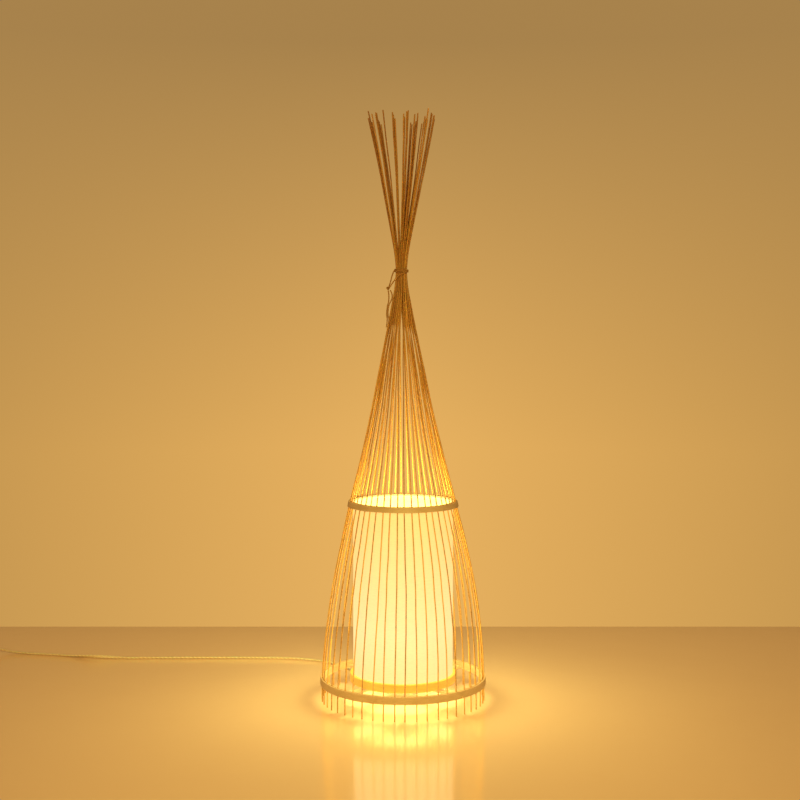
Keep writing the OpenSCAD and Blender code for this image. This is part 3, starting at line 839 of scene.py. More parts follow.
@dataclass(frozen=True)
class Spun(Finish):
    """Spun yarn or stranded wire in a sleeve."""

    light: Colour
    dark: Colour
    count: float = 5.0
    pitch: float = 3000.0
    depth: float = 0.00012
    roughness: float = 0.85
    coat: float = 0.0
    sheen: float = 0.0
    through: float = 0.0
    reach: float = 1.5 * MM

    def dress(self, desk: Desk, shader: bpy.types.Node) -> None:
        """Joins the strands to the shader.

        Args:
            desk: The material's desk.
            shader: Its Principled shader.
        """
        given = {
            "Grain": desk.attribute("grain").outputs["Vector"], "Count": self.count, "Pitch": self.pitch,
            "Tone": desk.attribute("tone").outputs["Fac"], "Dark": self.dark, "Light": self.light,
        }
        strands = desk.group(Effects.strands(), given)
        desk.feed(shader.inputs["Base Color"], strands["Color"])
        desk.feed(shader.inputs["Normal"], desk.bump(strands["Height"], self.depth))
        place = desk.node("ShaderNodeTexCoord").outputs["Object"]
        smudge = desk.spread(desk.noise(place, 240.0, 3.0), 0.3, 0.7, (self.roughness - 0.08, self.roughness + 0.08))
        desk.feed(shader.inputs["Roughness"], smudge)
        shader.inputs["Coat Weight"].default_value = self.coat
        shader.inputs["Coat Roughness"].default_value = 0.12
        shader.inputs["Sheen Weight"].default_value = self.sheen
        if self.through:
            shader.inputs["Subsurface Weight"].default_value = self.through
            shader.inputs["Subsurface Scale"].default_value = self.reach


@dataclass(frozen=True)
class LitGlass(Finish):
    """Opal bulb glass with a warm glow and a thin inner coating."""

    glow: Colour
    strength: float

    def dress(self, desk: Desk, shader: bpy.types.Node) -> None:
        """Joins the glow and the coating's cloud to the shader.

        Args:
            desk: The material's desk.
            shader: Its Principled shader.
        """
        place = desk.node("ShaderNodeTexCoord").outputs["Object"]
        cloud = desk.noise(place, 120.0, 4.0)
        height = desk.node("ShaderNodeSeparateXYZ", {0: place}).outputs[2]
        share = desk.spread(height, 0.09, 0.13)
        warm = tuple(c * 0.55 for c in self.glow)
        glow = desk.mix(share, warm, self.glow)
        desk.feed(shader.inputs["Emission Color"], desk.mix(desk.spread(cloud, 0.4, 0.7, (0.0, 0.2)), glow, warm))
        shader.inputs["Emission Strength"].default_value = self.strength
        desk.feed(shader.inputs["Base Color"], desk.mix(cloud, (0.9, 0.88, 0.82), (0.82, 0.8, 0.74)))
        desk.feed(shader.inputs["Roughness"], desk.spread(cloud, 0.3, 0.7, (0.08, 0.2)))
        desk.feed(shader.inputs["Normal"], desk.bump(cloud, 0.00002))


@dataclass(frozen=True)
class Ground(Finish):
    """Pale lacquered floor with a slow drift of tone and fine pores."""

    light: Colour
    dark: Colour
    roughness: float
    lacquer_ior: float = 2.9

    def dress(self, desk: Desk, shader: bpy.types.Node) -> None:
        """Joins drift and pores to the shader.

        Args:
            desk: The material's desk.
            shader: Its Principled shader.
        """
        place = desk.node("ShaderNodeTexCoord").outputs["Object"]
        slow = desk.noise(place, 1.4, 3.0)
        fine = desk.noise(place, 260.0, 3.0)
        desk.feed(shader.inputs["Base Color"], desk.mix(desk.spread(slow, 0.3, 0.7), self.light, self.dark))
        rough = (self.roughness, self.roughness + 0.06)
        desk.feed(shader.inputs["Roughness"], desk.spread(fine, 0.3, 0.7, rough))
        desk.feed(shader.inputs["Normal"], desk.bump(desk.noise(place, 9.0, 2.0), 0.0006, 0.4))
        shader.inputs["IOR"].default_value = self.lacquer_ior


# Painted lamplight on the splints: a yellow-tinted share of their colour is emitted, fading out from 0.19 to 0.48 m up.
SPLINT = Bamboo(
    "splint_bamboo", (0.68, 0.35, 0.075), (0.24, 0.082, 0.008), through=0.30, ground_darkening=0.3, glow=0.29,
    painted_glow_tint=(1.0, 1.4, 1.3), painted_glow_fades=(0.19, 0.48),
)
STRIP = Bamboo("hoop_bamboo", (0.72, 0.49, 0.30), (0.43, 0.27, 0.14), fineness=3200.0, depth=0.00008, ground_darkening=0.2)
# Painted lamplight: the shade ring emits a share of its colour, as if lit through by the shade.
RING = Bamboo("shade_ring_bamboo", (0.84, 0.46, 0.09), (0.62, 0.29, 0.03), glow=0.50, depth=0.00006, ground_darkening=0.0)
# Painted lamplight: both slats emit a share of their colour, as if lit by the shade above them.
SLAT_A = Bamboo("slat_a_bamboo", (0.78, 0.52, 0.24), (0.5, 0.3, 0.12), glow=0.25, turn_deg=42.75, ground_darkening=0.2)
SLAT_B = Bamboo("slat_b_bamboo", (0.76, 0.50, 0.23), (0.48, 0.29, 0.12), glow=0.25, turn_deg=132.75, ground_darkening=0.2)
SKIN = LitSkin("lit_shade_skin", (0.96, 0.71, 0.34), (0.94, 0.58, 0.19), 1.0)
TWINE = Spun("brown_twine", (0.62, 0.29, 0.05), (0.13, 0.04, 0.005), count=4.0, pitch=2600.0, sheen=0.3)
FLEX = Spun(
    "clear_flex", (0.86, 0.72, 0.50), (0.52, 0.36, 0.20), count=3.0, pitch=900.0, depth=0.00002,
    roughness=0.3, coat=0.6, through=0.25,
)
CREAM = Moulded("cream_moulding", (0.80, 0.77, 0.70), (0.70, 0.66, 0.57), 0.32, coat=0.15)
WHITE = Moulded("white_moulding", (0.86, 0.84, 0.80), (0.78, 0.75, 0.69), 0.28, coat=0.2)
WHITE_WIRE = Moulded("white_coated_wire", (0.85, 0.82, 0.74), (0.76, 0.71, 0.6), 0.38)
BLACK_GLASS = Moulded("black_glass", (0.015, 0.013, 0.012), (0.03, 0.026, 0.022), 0.12, coat=0.5)
BRASS = Metal("turned_brass", (0.83, 0.60, 0.26), (0.52, 0.36, 0.15))
STEEL = Metal("zinc_steel", (0.68, 0.68, 0.66), (0.46, 0.46, 0.44))
NICKEL = Metal("nickel_cap", (0.74, 0.73, 0.70), (0.54, 0.52, 0.48), 0.2)
SOLDER = Metal("solder", (0.62, 0.62, 0.61), (0.42, 0.42, 0.41), 0.35)
GLASS = LitGlass("lit_opal_glass", (1.0, 0.84, 0.5), 2.2)
GROUND = Ground("pale_floor", (0.91, 0.61, 0.44), (0.87, 0.57, 0.40), 0.10)


def finished(piece: bpy.types.Object, body: Body, finish: Finish, slot: Slot, *nodes: str) -> bpy.types.Object:
    """Dresses a new piece and fixes it to its body.

    Args:
        piece: The new object.
        body: The body that it moves with.
        finish: Its finish.
        slot: The record's slot of the piece; not used.
        nodes: The frame's nodes that it stands for.

    Returns:
        The same object.
    """
    piece.data.materials.append(finish.material())
    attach(piece, body.value)
    if nodes:
        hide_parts(*nodes)
    LOG.info("%s: %d faces on %s", piece.name, len(piece.data.polygons), body.value)
    return piece


def kept(node: str, finish: Finish, edge: float = 0.25 * MM) -> bpy.types.Object:
    """Dresses one of the frame's own nodes, and rounds its edges.

    Args:
        node: The node's name.
        finish: Its finish.
        edge: Width of the rounding.

    Returns:
        The node's object.
    """
    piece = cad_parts[node]
    piece.data.materials.clear()
    piece.data.materials.append(finish.material())
    weld = piece.modifiers.new("weld", "WELD")
    weld.merge_threshold = 1e-6
    bevel = piece.modifiers.new("edges", "BEVEL")
    bevel.width, bevel.segments, bevel.limit_method = edge, 2, "ANGLE"
    bevel.angle_limit = math.radians(32)
    piece.modifiers.new("normals", "WEIGHTED_NORMAL")
    LOG.info("%s: kept, with rounded edges", node)
    return piece


# ---------------------------------------------------------------- the lamp


def node_points(node: str) -> np.ndarray:
    """Reads the points of one of the frame's nodes.

    Args:
        node: The node's name.

    Returns:
        The points, one row each.
    """
    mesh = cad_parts[node].data
    points = np.zeros(len(mesh.vertices) * 3)
    mesh.vertices.foreach_get("co", points)
    return points.reshape(-1, 3)


@dataclass
class Sheaf:
    """The 48 bamboo splints of the cage, two to a piece."""

    pairs: int = 24
    radius: float = 0.9 * MM
    sides: int = 10
    spacing: float = 9 * MM
    sway: float = 0.35 * MM
    free_spans: tuple = (
        (1.0, (0.05, 0.12), (0.23, 0.28)), (0.8, (0.31, 0.40), (0.50, 0.58)), (1.1, (0.70, 0.80), (1.0, 1.1)),
    )
    seed: int = 71

    def routes(self, node: str) -> list[np.ndarray]:
        """Finds the two splints' middle lines from their rings.

        Args:
            node: The pair's node in the frame.

        Returns:
            Two arrays of ring centres, from the foot up.
        """
        points = node_points(node)
        corners, same = np.unique(np.round(points, 6), axis=0, return_inverse=True)
        same = same.reshape(-1)
        parent = list(range(len(corners)))

        def root(i: int) -> int:
            """Finds the first of the corners that one is joined to.

            Args:
                i: The corner.

            Returns:
                The first corner of its solid.
            """
            while parent[i] != i:
                parent[i] = parent[parent[i]]
                i = parent[i]
            return i

        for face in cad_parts[node].data.polygons:
            first = root(same[face.vertices[0]])
            for v in face.vertices[1:]:
                parent[root(same[v])] = first
        owner = np.array([root(i) for i in range(len(corners))])
        found = []
        for k in sorted(set(owner.tolist())):
            own = corners[owner == k]
            heights = np.unique(np.round(own[:, 2], 5))
            found.append(np.array([own[np.abs(own[:, 2] - z) < 2e-5].mean(axis=0) for z in heights]))
        return found

    def splint(self, route: np.ndarray, rng: np.random.Generator) -> Shape:
        """Builds one splint.

        Args:
            route: Its ring centres.
            rng: Source of its small differences.

        Returns:
            The splint's shape.
        """
        foot, tip = route[0, 2], route[-1, 2]
        joints = [z for z in (rng.uniform(0.06, 0.28), rng.uniform(0.34, 0.6)) if rng.random() < 0.45]
        near = [z + d for z in joints for d in (-3 * MM, -1.2 * MM, 0.0, 1.2 * MM, 3 * MM)]
        ends = [foot, foot + 0.35 * MM, foot + 1.5 * MM, tip - 1.5 * MM, tip - 0.3 * MM, tip]
        heights = np.unique(np.concatenate([np.arange(foot + 6 * MM, tip - 4 * MM, self.spacing), near, ends]))
        slopes = np.gradient(route[:, :2], route[:, 2], axis=0)
        line = np.column_stack([self.hermite(route, slopes, heights), heights])
        free = sum(
            share * clear_of(heights, *starts) * (1 - clear_of(heights, *stops))
            for share, starts, stops in self.free_spans
        )
        for axis in (0, 1):
            waves = sum(
                rng.uniform(-1, 1) * np.sin(heights * TURN / rng.uniform(0.05, 0.17) + rng.uniform(0, TURN))
                for _ in range(3)
            )
            line[:, axis] += self.sway * free * waves / 1.7
        wide = 1 + 0.02 * rng.uniform(-1, 1)
        wide = wide + 0.025 * np.sin(heights * TURN / rng.uniform(0.06, 0.2) + rng.uniform(0, TURN))
        tone = np.full(len(heights), rng.uniform(0.05, 1.0))
        for z in joints:
            wide += 0.07 * np.exp(-(((heights - z) / (1.3 * MM)) ** 2))
            tone -= 0.55 * np.exp(-(((heights - z) / (1.6 * MM)) ** 2))
        wide[0] = wide[-1] = 0.84
        flat = 1 - rng.uniform(0.02, 0.12)
        section = ring_of(self.sides, self.radius, 2.5, 0.1) * [1.0, flat]
        turn = rng.uniform(0, TURN) + (heights - foot) * rng.uniform(-2, 2)
        rings = turned(section[None] * wide[:, None, None], turn)
        shape = sweep(line, rings, self.level(len(line)), tone, rng.uniform(0, 5))
        # Painted shade: tone is taken off the sides that face into the crowded sheaf.
        shape.tone -= self.painted_crowd_shade(line, rings)
        return shape

    def painted_crowd_shade(self, line: np.ndarray, rings: np.ndarray) -> np.ndarray:
        """Finds the painted shade on the sides that face into the sheaf, darker where splints crowd.

        Args:
            line: The splint's middle line.
            rings: Its sections, round the middle line.

        Returns:
            The painted shade, as a loss of tone, at each point.
        """
        crowd = clear_of(line[:, 2], 0.50, 0.62) * (1 - 0.45 * clear_of(line[:, 2], 0.72, 0.86))
        axis = np.column_stack([-0.0024 * crowd, np.zeros(len(line))])
        inward = unit(axis - line[:, :2])
        facing = (unit(rings) * inward[:, None]).sum(-1)
        return (crowd[:, None] * (0.35 + 0.65 * facing).clip(0, 1) * 0.9).reshape(-1)

    @staticmethod
    def level(count: int) -> tuple[np.ndarray, np.ndarray]:
        """Returns side directions that lie level, for near-upright pieces."""
        return np.tile([1.0, 0.0, 0.0], (count, 1)), np.tile([0.0, 1.0, 0.0], (count, 1))

    @staticmethod
    def hermite(route: np.ndarray, slopes: np.ndarray, heights: np.ndarray) -> np.ndarray:
        """Reads x and y on a smooth curve through a route.

        Args:
            route: The route's points, from low to high.
            slopes: Its change of x and y with height at each point.
            heights: Where to read it.

        Returns:
            The x and y at each height.
        """
        z = route[:, 2]
        i = np.clip(np.searchsorted(z, heights, "right") - 1, 0, len(z) - 2)
        w = (z[i + 1] - z[i])[:, None]
        t = ((heights - z[i]) / (z[i + 1] - z[i]))[:, None]
        a, b = route[i, :2], route[i + 1, :2]
        return (
            a * (2 * t**3 - 3 * t**2 + 1) + b * (3 * t**2 - 2 * t**3)
            + w * slopes[i] * (t**3 - 2 * t**2 + t) + w * slopes[i + 1] * (t**3 - t**2)
        )

    def build(self) -> None:
        """Builds all pairs."""
        rng = np.random.default_rng(self.seed)
        for k in range(1, self.pairs + 1):
            node = f"splint_pair_{k:02d}"
            shape = Shape.join([self.splint(route, rng) for route in self.routes(node)])
            finished(shape.make(f"splints_{k:02d}", 50), Body.LAMP, SPLINT, Slot.SPLINT, node)


@dataclass
class BentStrip:
    """A split strip bent into a hoop, with its ends scarfed together."""

    node: str
    piece: str
    finish: Finish
    slot: Slot
    scarf_deg: float
    joints_deg: tuple[float, ...]
    crown: float = 0.15 * MM
    ridge: float = 0.3 * MM
    scarf_span_deg: float = 16.0
    seed: int = 5

    def build(self) -> bpy.types.Object:
        """Builds the strip.

        Returns:
            The strip's object.
        """
        points = node_points(self.node)
        r, z = np.hypot(points[:, 0], points[:, 1]), points[:, 2]
        low, high = z.min(), z.max()
        foot, top = r[z < low + 1e-5], r[z > high - 1e-5]
        wall = foot.max() - foot.min()
        rng = np.random.default_rng(self.seed)
        steps = int((360 + self.scarf_span_deg) / 1.1)
        angle = np.radians(self.scarf_deg) + np.linspace(0, math.radians(360 + self.scarf_span_deg), steps)
        share = (angle - angle[0]) / math.radians(self.scarf_span_deg)
        last = (angle[-1] - angle) / math.radians(self.scarf_span_deg)
        cut_out = wall * 0.93 * (1 - np.clip(share, 0, 1))
        cut_in = wall * 0.93 * (1 - np.clip(last, 0, 1))
        ridge = np.zeros(steps)
        tone = 0.5 + 0.14 * np.sin(angle * 3 + self.seed) + 0.08 * np.sin(angle * 11)
        for joint in self.joints_deg:
            away = (angle - math.radians(joint) + math.pi) % TURN - math.pi
            arc = away * foot.max() / MM
            ridge += self.ridge * (np.exp(-((arc / 2.4) ** 2)) - 0.4 * np.exp(-(((arc - 4.5) / 3.0) ** 2)))
            tone -= 0.45 * np.exp(-(((arc - 1.8) / 1.4) ** 2))
        levels = np.linspace(0, 1, 7)
        lean_in, lean_out = top.min() - foot.min(), top.max() - foot.max()
        corner = 0.16 * wall
        rows = []
        for k in range(steps):
            up = high - low
            wave = 0.12 * MM * math.sin(angle[k] * 7 + self.seed) + 0.05 * MM * rng.uniform(-1, 1)
            outer = []
            for t in levels:
                swell = self.crown * (4 * t * (1 - t)) - cut_out[k] + ridge[k] * (1 if 0 < t < 1 else 0.6)
                outer.append((foot.max() + lean_out * t + swell, low + up * t + wave * (2 * t - 1)))
            inner = [(foot.min() + lean_in * t + cut_in[k], low + up * t + wave * (2 * t - 1)) for t in levels[::-1]]
            outer[0] = (outer[0][0] - corner, outer[0][1])
            outer[-1] = (outer[-1][0] - corner, outer[-1][1])
            outer.insert(1, (outer[0][0] + corner, outer[0][1] + corner))
            outer.insert(-1, (outer[-1][0] + corner, outer[-1][1] - corner))
            ring = np.array(outer + inner)
            if cut_in[k] > 0 or cut_out[k] > 0:
                thick = max(0.07 * wall, wall - cut_in[k] - cut_out[k])
                ring[len(outer):, 0] = np.minimum(ring[len(outer):, 0], ring[:len(outer), 0].max() - 0.5 * thick)
            rows.append(ring)
        rings = np.array(rows)
        middle = np.array([rings[..., 0].mean(), (low + high) / 2])
        path = np.column_stack([middle[0] * np.cos(angle), middle[0] * np.sin(angle), np.full(steps, middle[1])])
        out = np.column_stack([np.cos(angle), np.sin(angle), np.zeros(steps)])
        up_way = np.tile([0.0, 0.0, 1.0], (steps, 1))
        shape = sweep(path, rings - middle, (out, up_way), tone, self.seed)
        return finished(shape.make(self.piece, 35), Body.LAMP, self.finish, self.slot, self.node)


@dataclass
class Hoops:
    """The two pairs of strips that hold the splints, and the nails through them."""

    def build(self) -> None:
        """Builds the strips and dresses the nails."""
        plans = [
            ("lower_outer_strip", 112.0, (18.0, 163.0, 251.0), 3), ("lower_inner_strip", 40.0, (95.0, 215.0, 300.0), 4),
            ("upper_outer_strip", 70.0, (205.0, 350.0), 5), ("upper_inner_strip", 148.0, (30.0, 272.0), 6),
        ]
        for node, scarf, joints, seed in plans:
            BentStrip(node, f"{node}_split", STRIP, Slot.STRIP, scarf, joints, seed=seed).build()
        kept("slat_nails", BRASS, 0.15 * MM)


@dataclass
class Shade:
    """The lit shade: skin, hem over the top wire, base ring and its slats."""

    waves: float = 0.14 * MM
    rows: int = 40
    seam_deg: float = 97.0
    lap_deg: float = 9.0
    flat: tuple[float, float] = (0.4805, 0.2694)
    hem_out: float = 0.5 * MM
    hem_in: float = 0.1 * MM
    hem_drop: float = 5 * MM

    def skin(self) -> bpy.types.Object:
        """Builds the skin as one rolled sheet with a lapped seam at the back.

        Returns:
            The skin's object.
        """
        points = node_points("shade_skin")
        r = np.hypot(points[:, 0], points[:, 1])
        low, high = points[:, 2].min(), points[:, 2].max()
        thick = r.max() - r.min()
        steps = 240
        angle = math.radians(self.seam_deg) + np.linspace(0, math.radians(360 + self.lap_deg), steps)
        tucked = clear_of(angle - angle[0], math.radians(358 - self.lap_deg), math.radians(360))
        heights = np.linspace(low, high, self.rows)
        swell = self.waves * np.sin(math.pi * (heights - low) / (high - low))
        rows = []
        for a, tuck in zip(angle, tucked):
            shift = swell * (np.sin(3 * a + 40 * heights) + 0.6 * np.sin(7 * a - 65 * heights)) / 1.6
            shift = shift - tuck * (thick + 0.12 * MM)
            outer = np.column_stack([r.max() - 0.12 * MM + shift, heights])
            inner = np.column_stack([r.min() + shift, heights])[::-1]
            rows.append(np.vstack([outer, inner]))
        rings = np.array(rows)
        middle = np.array([r.max(), (low + high) / 2])
        path = np.column_stack([middle[0] * np.cos(angle), middle[0] * np.sin(angle), np.full(steps, middle[1])])
        out = np.column_stack([np.cos(angle), np.sin(angle), np.zeros(steps)])
        shape = sweep(path, rings - middle, (out, np.tile([0.0, 0.0, 1.0], (steps, 1))))
        piece = finished(shape.make("shade_skin_sheet", 60), Body.LAMP, SKIN, Slot.SKIN, "shade_skin")
        piece.visible_shadow = False
        return piece

    def hem(self) -> bpy.types.Object:
        """Builds the skin's edge turned inwards over the wire.

        Returns:
            The hem's object.
        """
        low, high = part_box("shade_top_wire")
        reach = high.x
        wire = (high.z - low.z) / 2
        centre = (reach - wire, (high.z + low.z) / 2)
        arc = np.linspace(math.radians(-20), math.radians(215), 22)
        outer, inner = (
            [(centre[0] + (wire + gap) * math.cos(a), centre[1] + (wire + gap) * math.sin(a)) for a in angles]
            for gap, angles in ((self.hem_out, arc), (self.hem_in, arc[::-1]))
        )
        drop = self.hem_drop
        outer.append((outer[-1][0], outer[-1][1] - drop))
        inner.insert(0, (inner[0][0], inner[0][1] - drop))

        def ripple(radius: np.ndarray, z: np.ndarray, angle: np.ndarray) -> np.ndarray:
            """Small gathers where the edge turns."""
            return 0.06 * MM * np.sin(angle * 61) + 0.05 * MM * np.sin(angle * 23 + 900 * z)

        shape = lathe(np.array(outer + inner), 240, ripple)
        piece = finished(shape.make("shade_hem", 60), Body.LAMP, SKIN, Slot.SKIN)
        piece.visible_shadow = False
        return piece

    def build(self) -> None:
        """Builds the skin, the hem and the ring, and dresses the rest."""
        skin, hem = self.skin(), self.hem()
        kept("shade_top_wire", WHITE_WIRE, 0.0)
        BentStrip(
            "shade_base_ring", "shade_base_hoop", RING, Slot.RING, 100.0, (),
            crown=0.1 * MM, scarf_span_deg=30.0, seed=9,
        ).build()
        kept("ring_nails", BRASS, 0.12 * MM)
        kept("cross_slat_a", SLAT_A, 0.5 * MM)
        kept("cross_slat_b", SLAT_B, 0.5 * MM)


THREAD_PITCH = 3.62 * MM
CAP_THREAD = 0.42 * MM


def screw_wave(depth: float, pitch: float, low: float, high: float, run: float) -> Callable:
    """Makes a right-handed screw thread for a lathe.

    Args:
        depth: How far the thread rises and falls.
        pitch: Height of one turn.
        low: Height where the thread starts.
        high: Height where it ends.
        run: Height over which it fades in and out.

    Returns:
        The function that a lathe takes as its shift.
    """

    def shift(radius: np.ndarray, z: np.ndarray, angle: np.ndarray) -> np.ndarray:
        """Returns the thread's rise at a place."""
        fade = clear_of(z, low, low + run) * (1 - clear_of(z, high - run, high))
        return fade * depth * np.cos(TURN * z / pitch - angle)

    return shift


@dataclass
class Holder:
    """The lamp holder on its plate: nipple, nuts, base, body, threaded sleeve and contact."""

    ribs: int = 36
    sleeve_inside: float = 13.75 * MM
    well: float = 14.3 * MM
    floor_hole: float = 5.2 * MM

    def sleeve(self) -> None:
        """Builds the sleeve as a rolled, threaded sheet."""
        low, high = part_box("holder_sleeve")
        rows = 64
        z = np.linspace(low.z, high.z, rows)
        outside, inside = np.full(rows, self.sleeve_inside + 0.35 * MM), np.full(rows, self.sleeve_inside)
        outline = np.vstack([np.column_stack([outside, z]), np.column_stack([inside, z[::-1]])])
        outline[0, 0] += 0.25 * MM
        outline[rows - 1, 0] += 0.3 * MM
        thread = screw_wave(0.4 * MM, THREAD_PITCH, low.z, high.z, 2 * MM)
        shape = lathe(outline, 96, lambda r, z, a: thread(r, z, a) * 0.6)
        finished(shape.make("threaded_sleeve", 45), Body.LAMP, BRASS, Slot.BRASS, "holder_sleeve")

    def body(self) -> None:
        """Builds the body with its grip ribs and rolled rim."""
        low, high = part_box("holder_body")
        wide, floor, well = high.x, low.z + 4 * MM, self.well
        rim, shoulder = wide - 2 * MM, high.z - 8 * MM
        outer_z = np.linspace(low.z + 1.2 * MM, shoulder, 30)
        outline = [(self.floor_hole, low.z), (wide - 0.8 * MM, low.z)]
        outline += [(wide, z) for z in outer_z]
        outline += [(rim, high.z - 6 * MM), (rim, high.z - 0.7 * MM), (rim - 0.7 * MM, high.z)]
        outline += [(well + 0.5 * MM, high.z), (well, high.z - 0.5 * MM), (well, floor), (self.floor_hole, floor)]
        start, stop = low.z + 7 * MM, shoulder - 5 * MM

        def grip(radius: np.ndarray, z: np.ndarray, angle: np.ndarray) -> np.ndarray:
            """Cuts grooves between the ribs on the outside.

            Args:
                radius: Each point's radius.
                z: Its height.
                angle: Its angle about the axis.

            Returns:
                The change of radius.
            """
            band = clear_of(z, start, start + 3 * MM) * (1 - clear_of(z, stop - 3 * MM, stop))
            ribs = np.clip(np.cos(self.ribs * angle), -0.6, 0.6) / 0.6
            return np.where(radius > wide - 0.1 * MM, -0.3 * MM * band * (1 - ribs), 0.0)

        shell = lathe(np.array(outline), 288, grip).make("holder_shell", 40)
        finished(shell, Body.LAMP, WHITE, Slot.HOLDER, "holder_body")

    def nipple(self) -> None:
        """Builds the hollow threaded nipple."""
        low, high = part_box("holder_nipple")
        out, bore = high.x - 0.18 * MM, high.x - 1.5 * MM
        rows = 110
        z = np.linspace(low.z, high.z, rows)
        outline = np.vstack([np.column_stack([np.full(rows, out), z]), [(bore, high.z), (bore, low.z)]])
        outline[[0, rows - 1], 0] -= 0.4 * MM
        thread = screw_wave(0.18 * MM, 1.0 * MM, low.z, high.z, 1 * MM)
        shape = lathe(outline, 64, lambda r, zz, a: np.where(r > bore + 0.1 * MM, thread(r, zz, a), 0.0))
        finished(shape.make("threaded_nipple", 45), Body.LAMP, BRASS, Slot.BRASS, "holder_nipple")

    def build(self) -> None:
        """Builds the threaded and ribbed pieces, and dresses the rest."""
        kept("holder_plate", STEEL, 0.3 * MM)
        kept("plate_screws", STEEL, 0.15 * MM)
        kept("nipple_nuts", BRASS, 0.3 * MM)
        kept("holder_base", WHITE, 0.7 * MM)
        kept("holder_contact", BRASS, 0.15 * MM)
        self.nipple()
        self.body()
        self.sleeve()


@dataclass
class Bulb:
    """The bulb: contact tip, black glass, threaded cap and opal glass."""

    def build(self) -> None:
        """Builds its four pieces."""
        low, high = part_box("bulb_tip")
        tall = high.z - low.z
        dome = [(0.0, low.z), (1.6 * MM, low.z), (3.0 * MM, low.z + 0.25 * MM), (4.2 * MM, low.z + 0.6 * tall)]
        outline = np.array([*dome, (4.6 * MM, high.z), (0.0, high.z)])
        dent = lathe(outline, 48, lambda r, z, a: 0.12 * MM * np.sin(3 * a + 1))
        finished(dent.make("bulb_contact_tip", 50), Body.TIP, SOLDER, Slot.TIP, "bulb_tip")

        low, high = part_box("bulb_insulator")
        wide = high.x
        outline = [(0.0, low.z), (4.7 * MM, low.z), (5.4 * MM, low.z + 0.8 * MM), (8.2 * MM, low.z + 2.2 * MM)]
        outline += [(wide - 0.3 * MM, high.z - 0.9 * MM), (wide, high.z), (0.0, high.z)]
        made = lathe(np.array(outline), 72).make("bulb_black_glass", 50)
        finished(made, Body.BULB, BLACK_GLASS, Slot.BLACK_GLASS, "bulb_insulator")

        low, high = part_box("bulb_cap")
        mean = high.x - CAP_THREAD
        z = np.linspace(low.z + 1.2 * MM, high.z - 1.0 * MM, 72)
        outline = np.vstack([
            [(0.0, low.z), (10.0 * MM, low.z), (11.6 * MM, low.z + 0.4 * MM)],
            np.column_stack([np.full(72, mean), z]),
            [(high.x - 0.1 * MM, high.z - 0.5 * MM), (12.7 * MM, high.z), (0.0, high.z)],
        ])
        thread = screw_wave(CAP_THREAD, THREAD_PITCH, low.z + 1.5 * MM, high.z - 4 * MM, 2 * MM)
        finished(lathe(outline, 96, thread).make("bulb_threaded_cap", 50), Body.BULB, NICKEL, Slot.CAP, "bulb_cap")

        points = node_points("bulb_glass")
        r = np.hypot(points[:, 0], points[:, 1])
        heights = np.unique(np.round(points[:, 2], 5))
        walls = np.array([(r[np.abs(points[:, 2] - h) < 2e-5].max(), h) for h in heights])
        walls = walls[walls[:, 0] > 0]
        foot, tall = points[:, 2].min(), points[:, 2].max() - points[:, 2].min()
        z = foot + tall * (1 - np.cos(np.linspace(0, math.pi, 60))) / 2
        keep = [walls[0]]
        for row in walls[1:]:
            if len(keep) < 2 or abs(row[0] - keep[-1][0]) < 6 * MM:
                keep.append(row)
        table = np.array(keep)
        outer = np.column_stack([np.interp(z, table[:, 1], table[:, 0]), z])
        outer[-1, 0] = 0.0
        made = lathe(np.vstack([outer, [(0.0, z[0])]]), 72).make("bulb_opal_glass", 60)
        finished(made, Body.BULB, GLASS, Slot.GLASS, "bulb_glass").visible_shadow = False


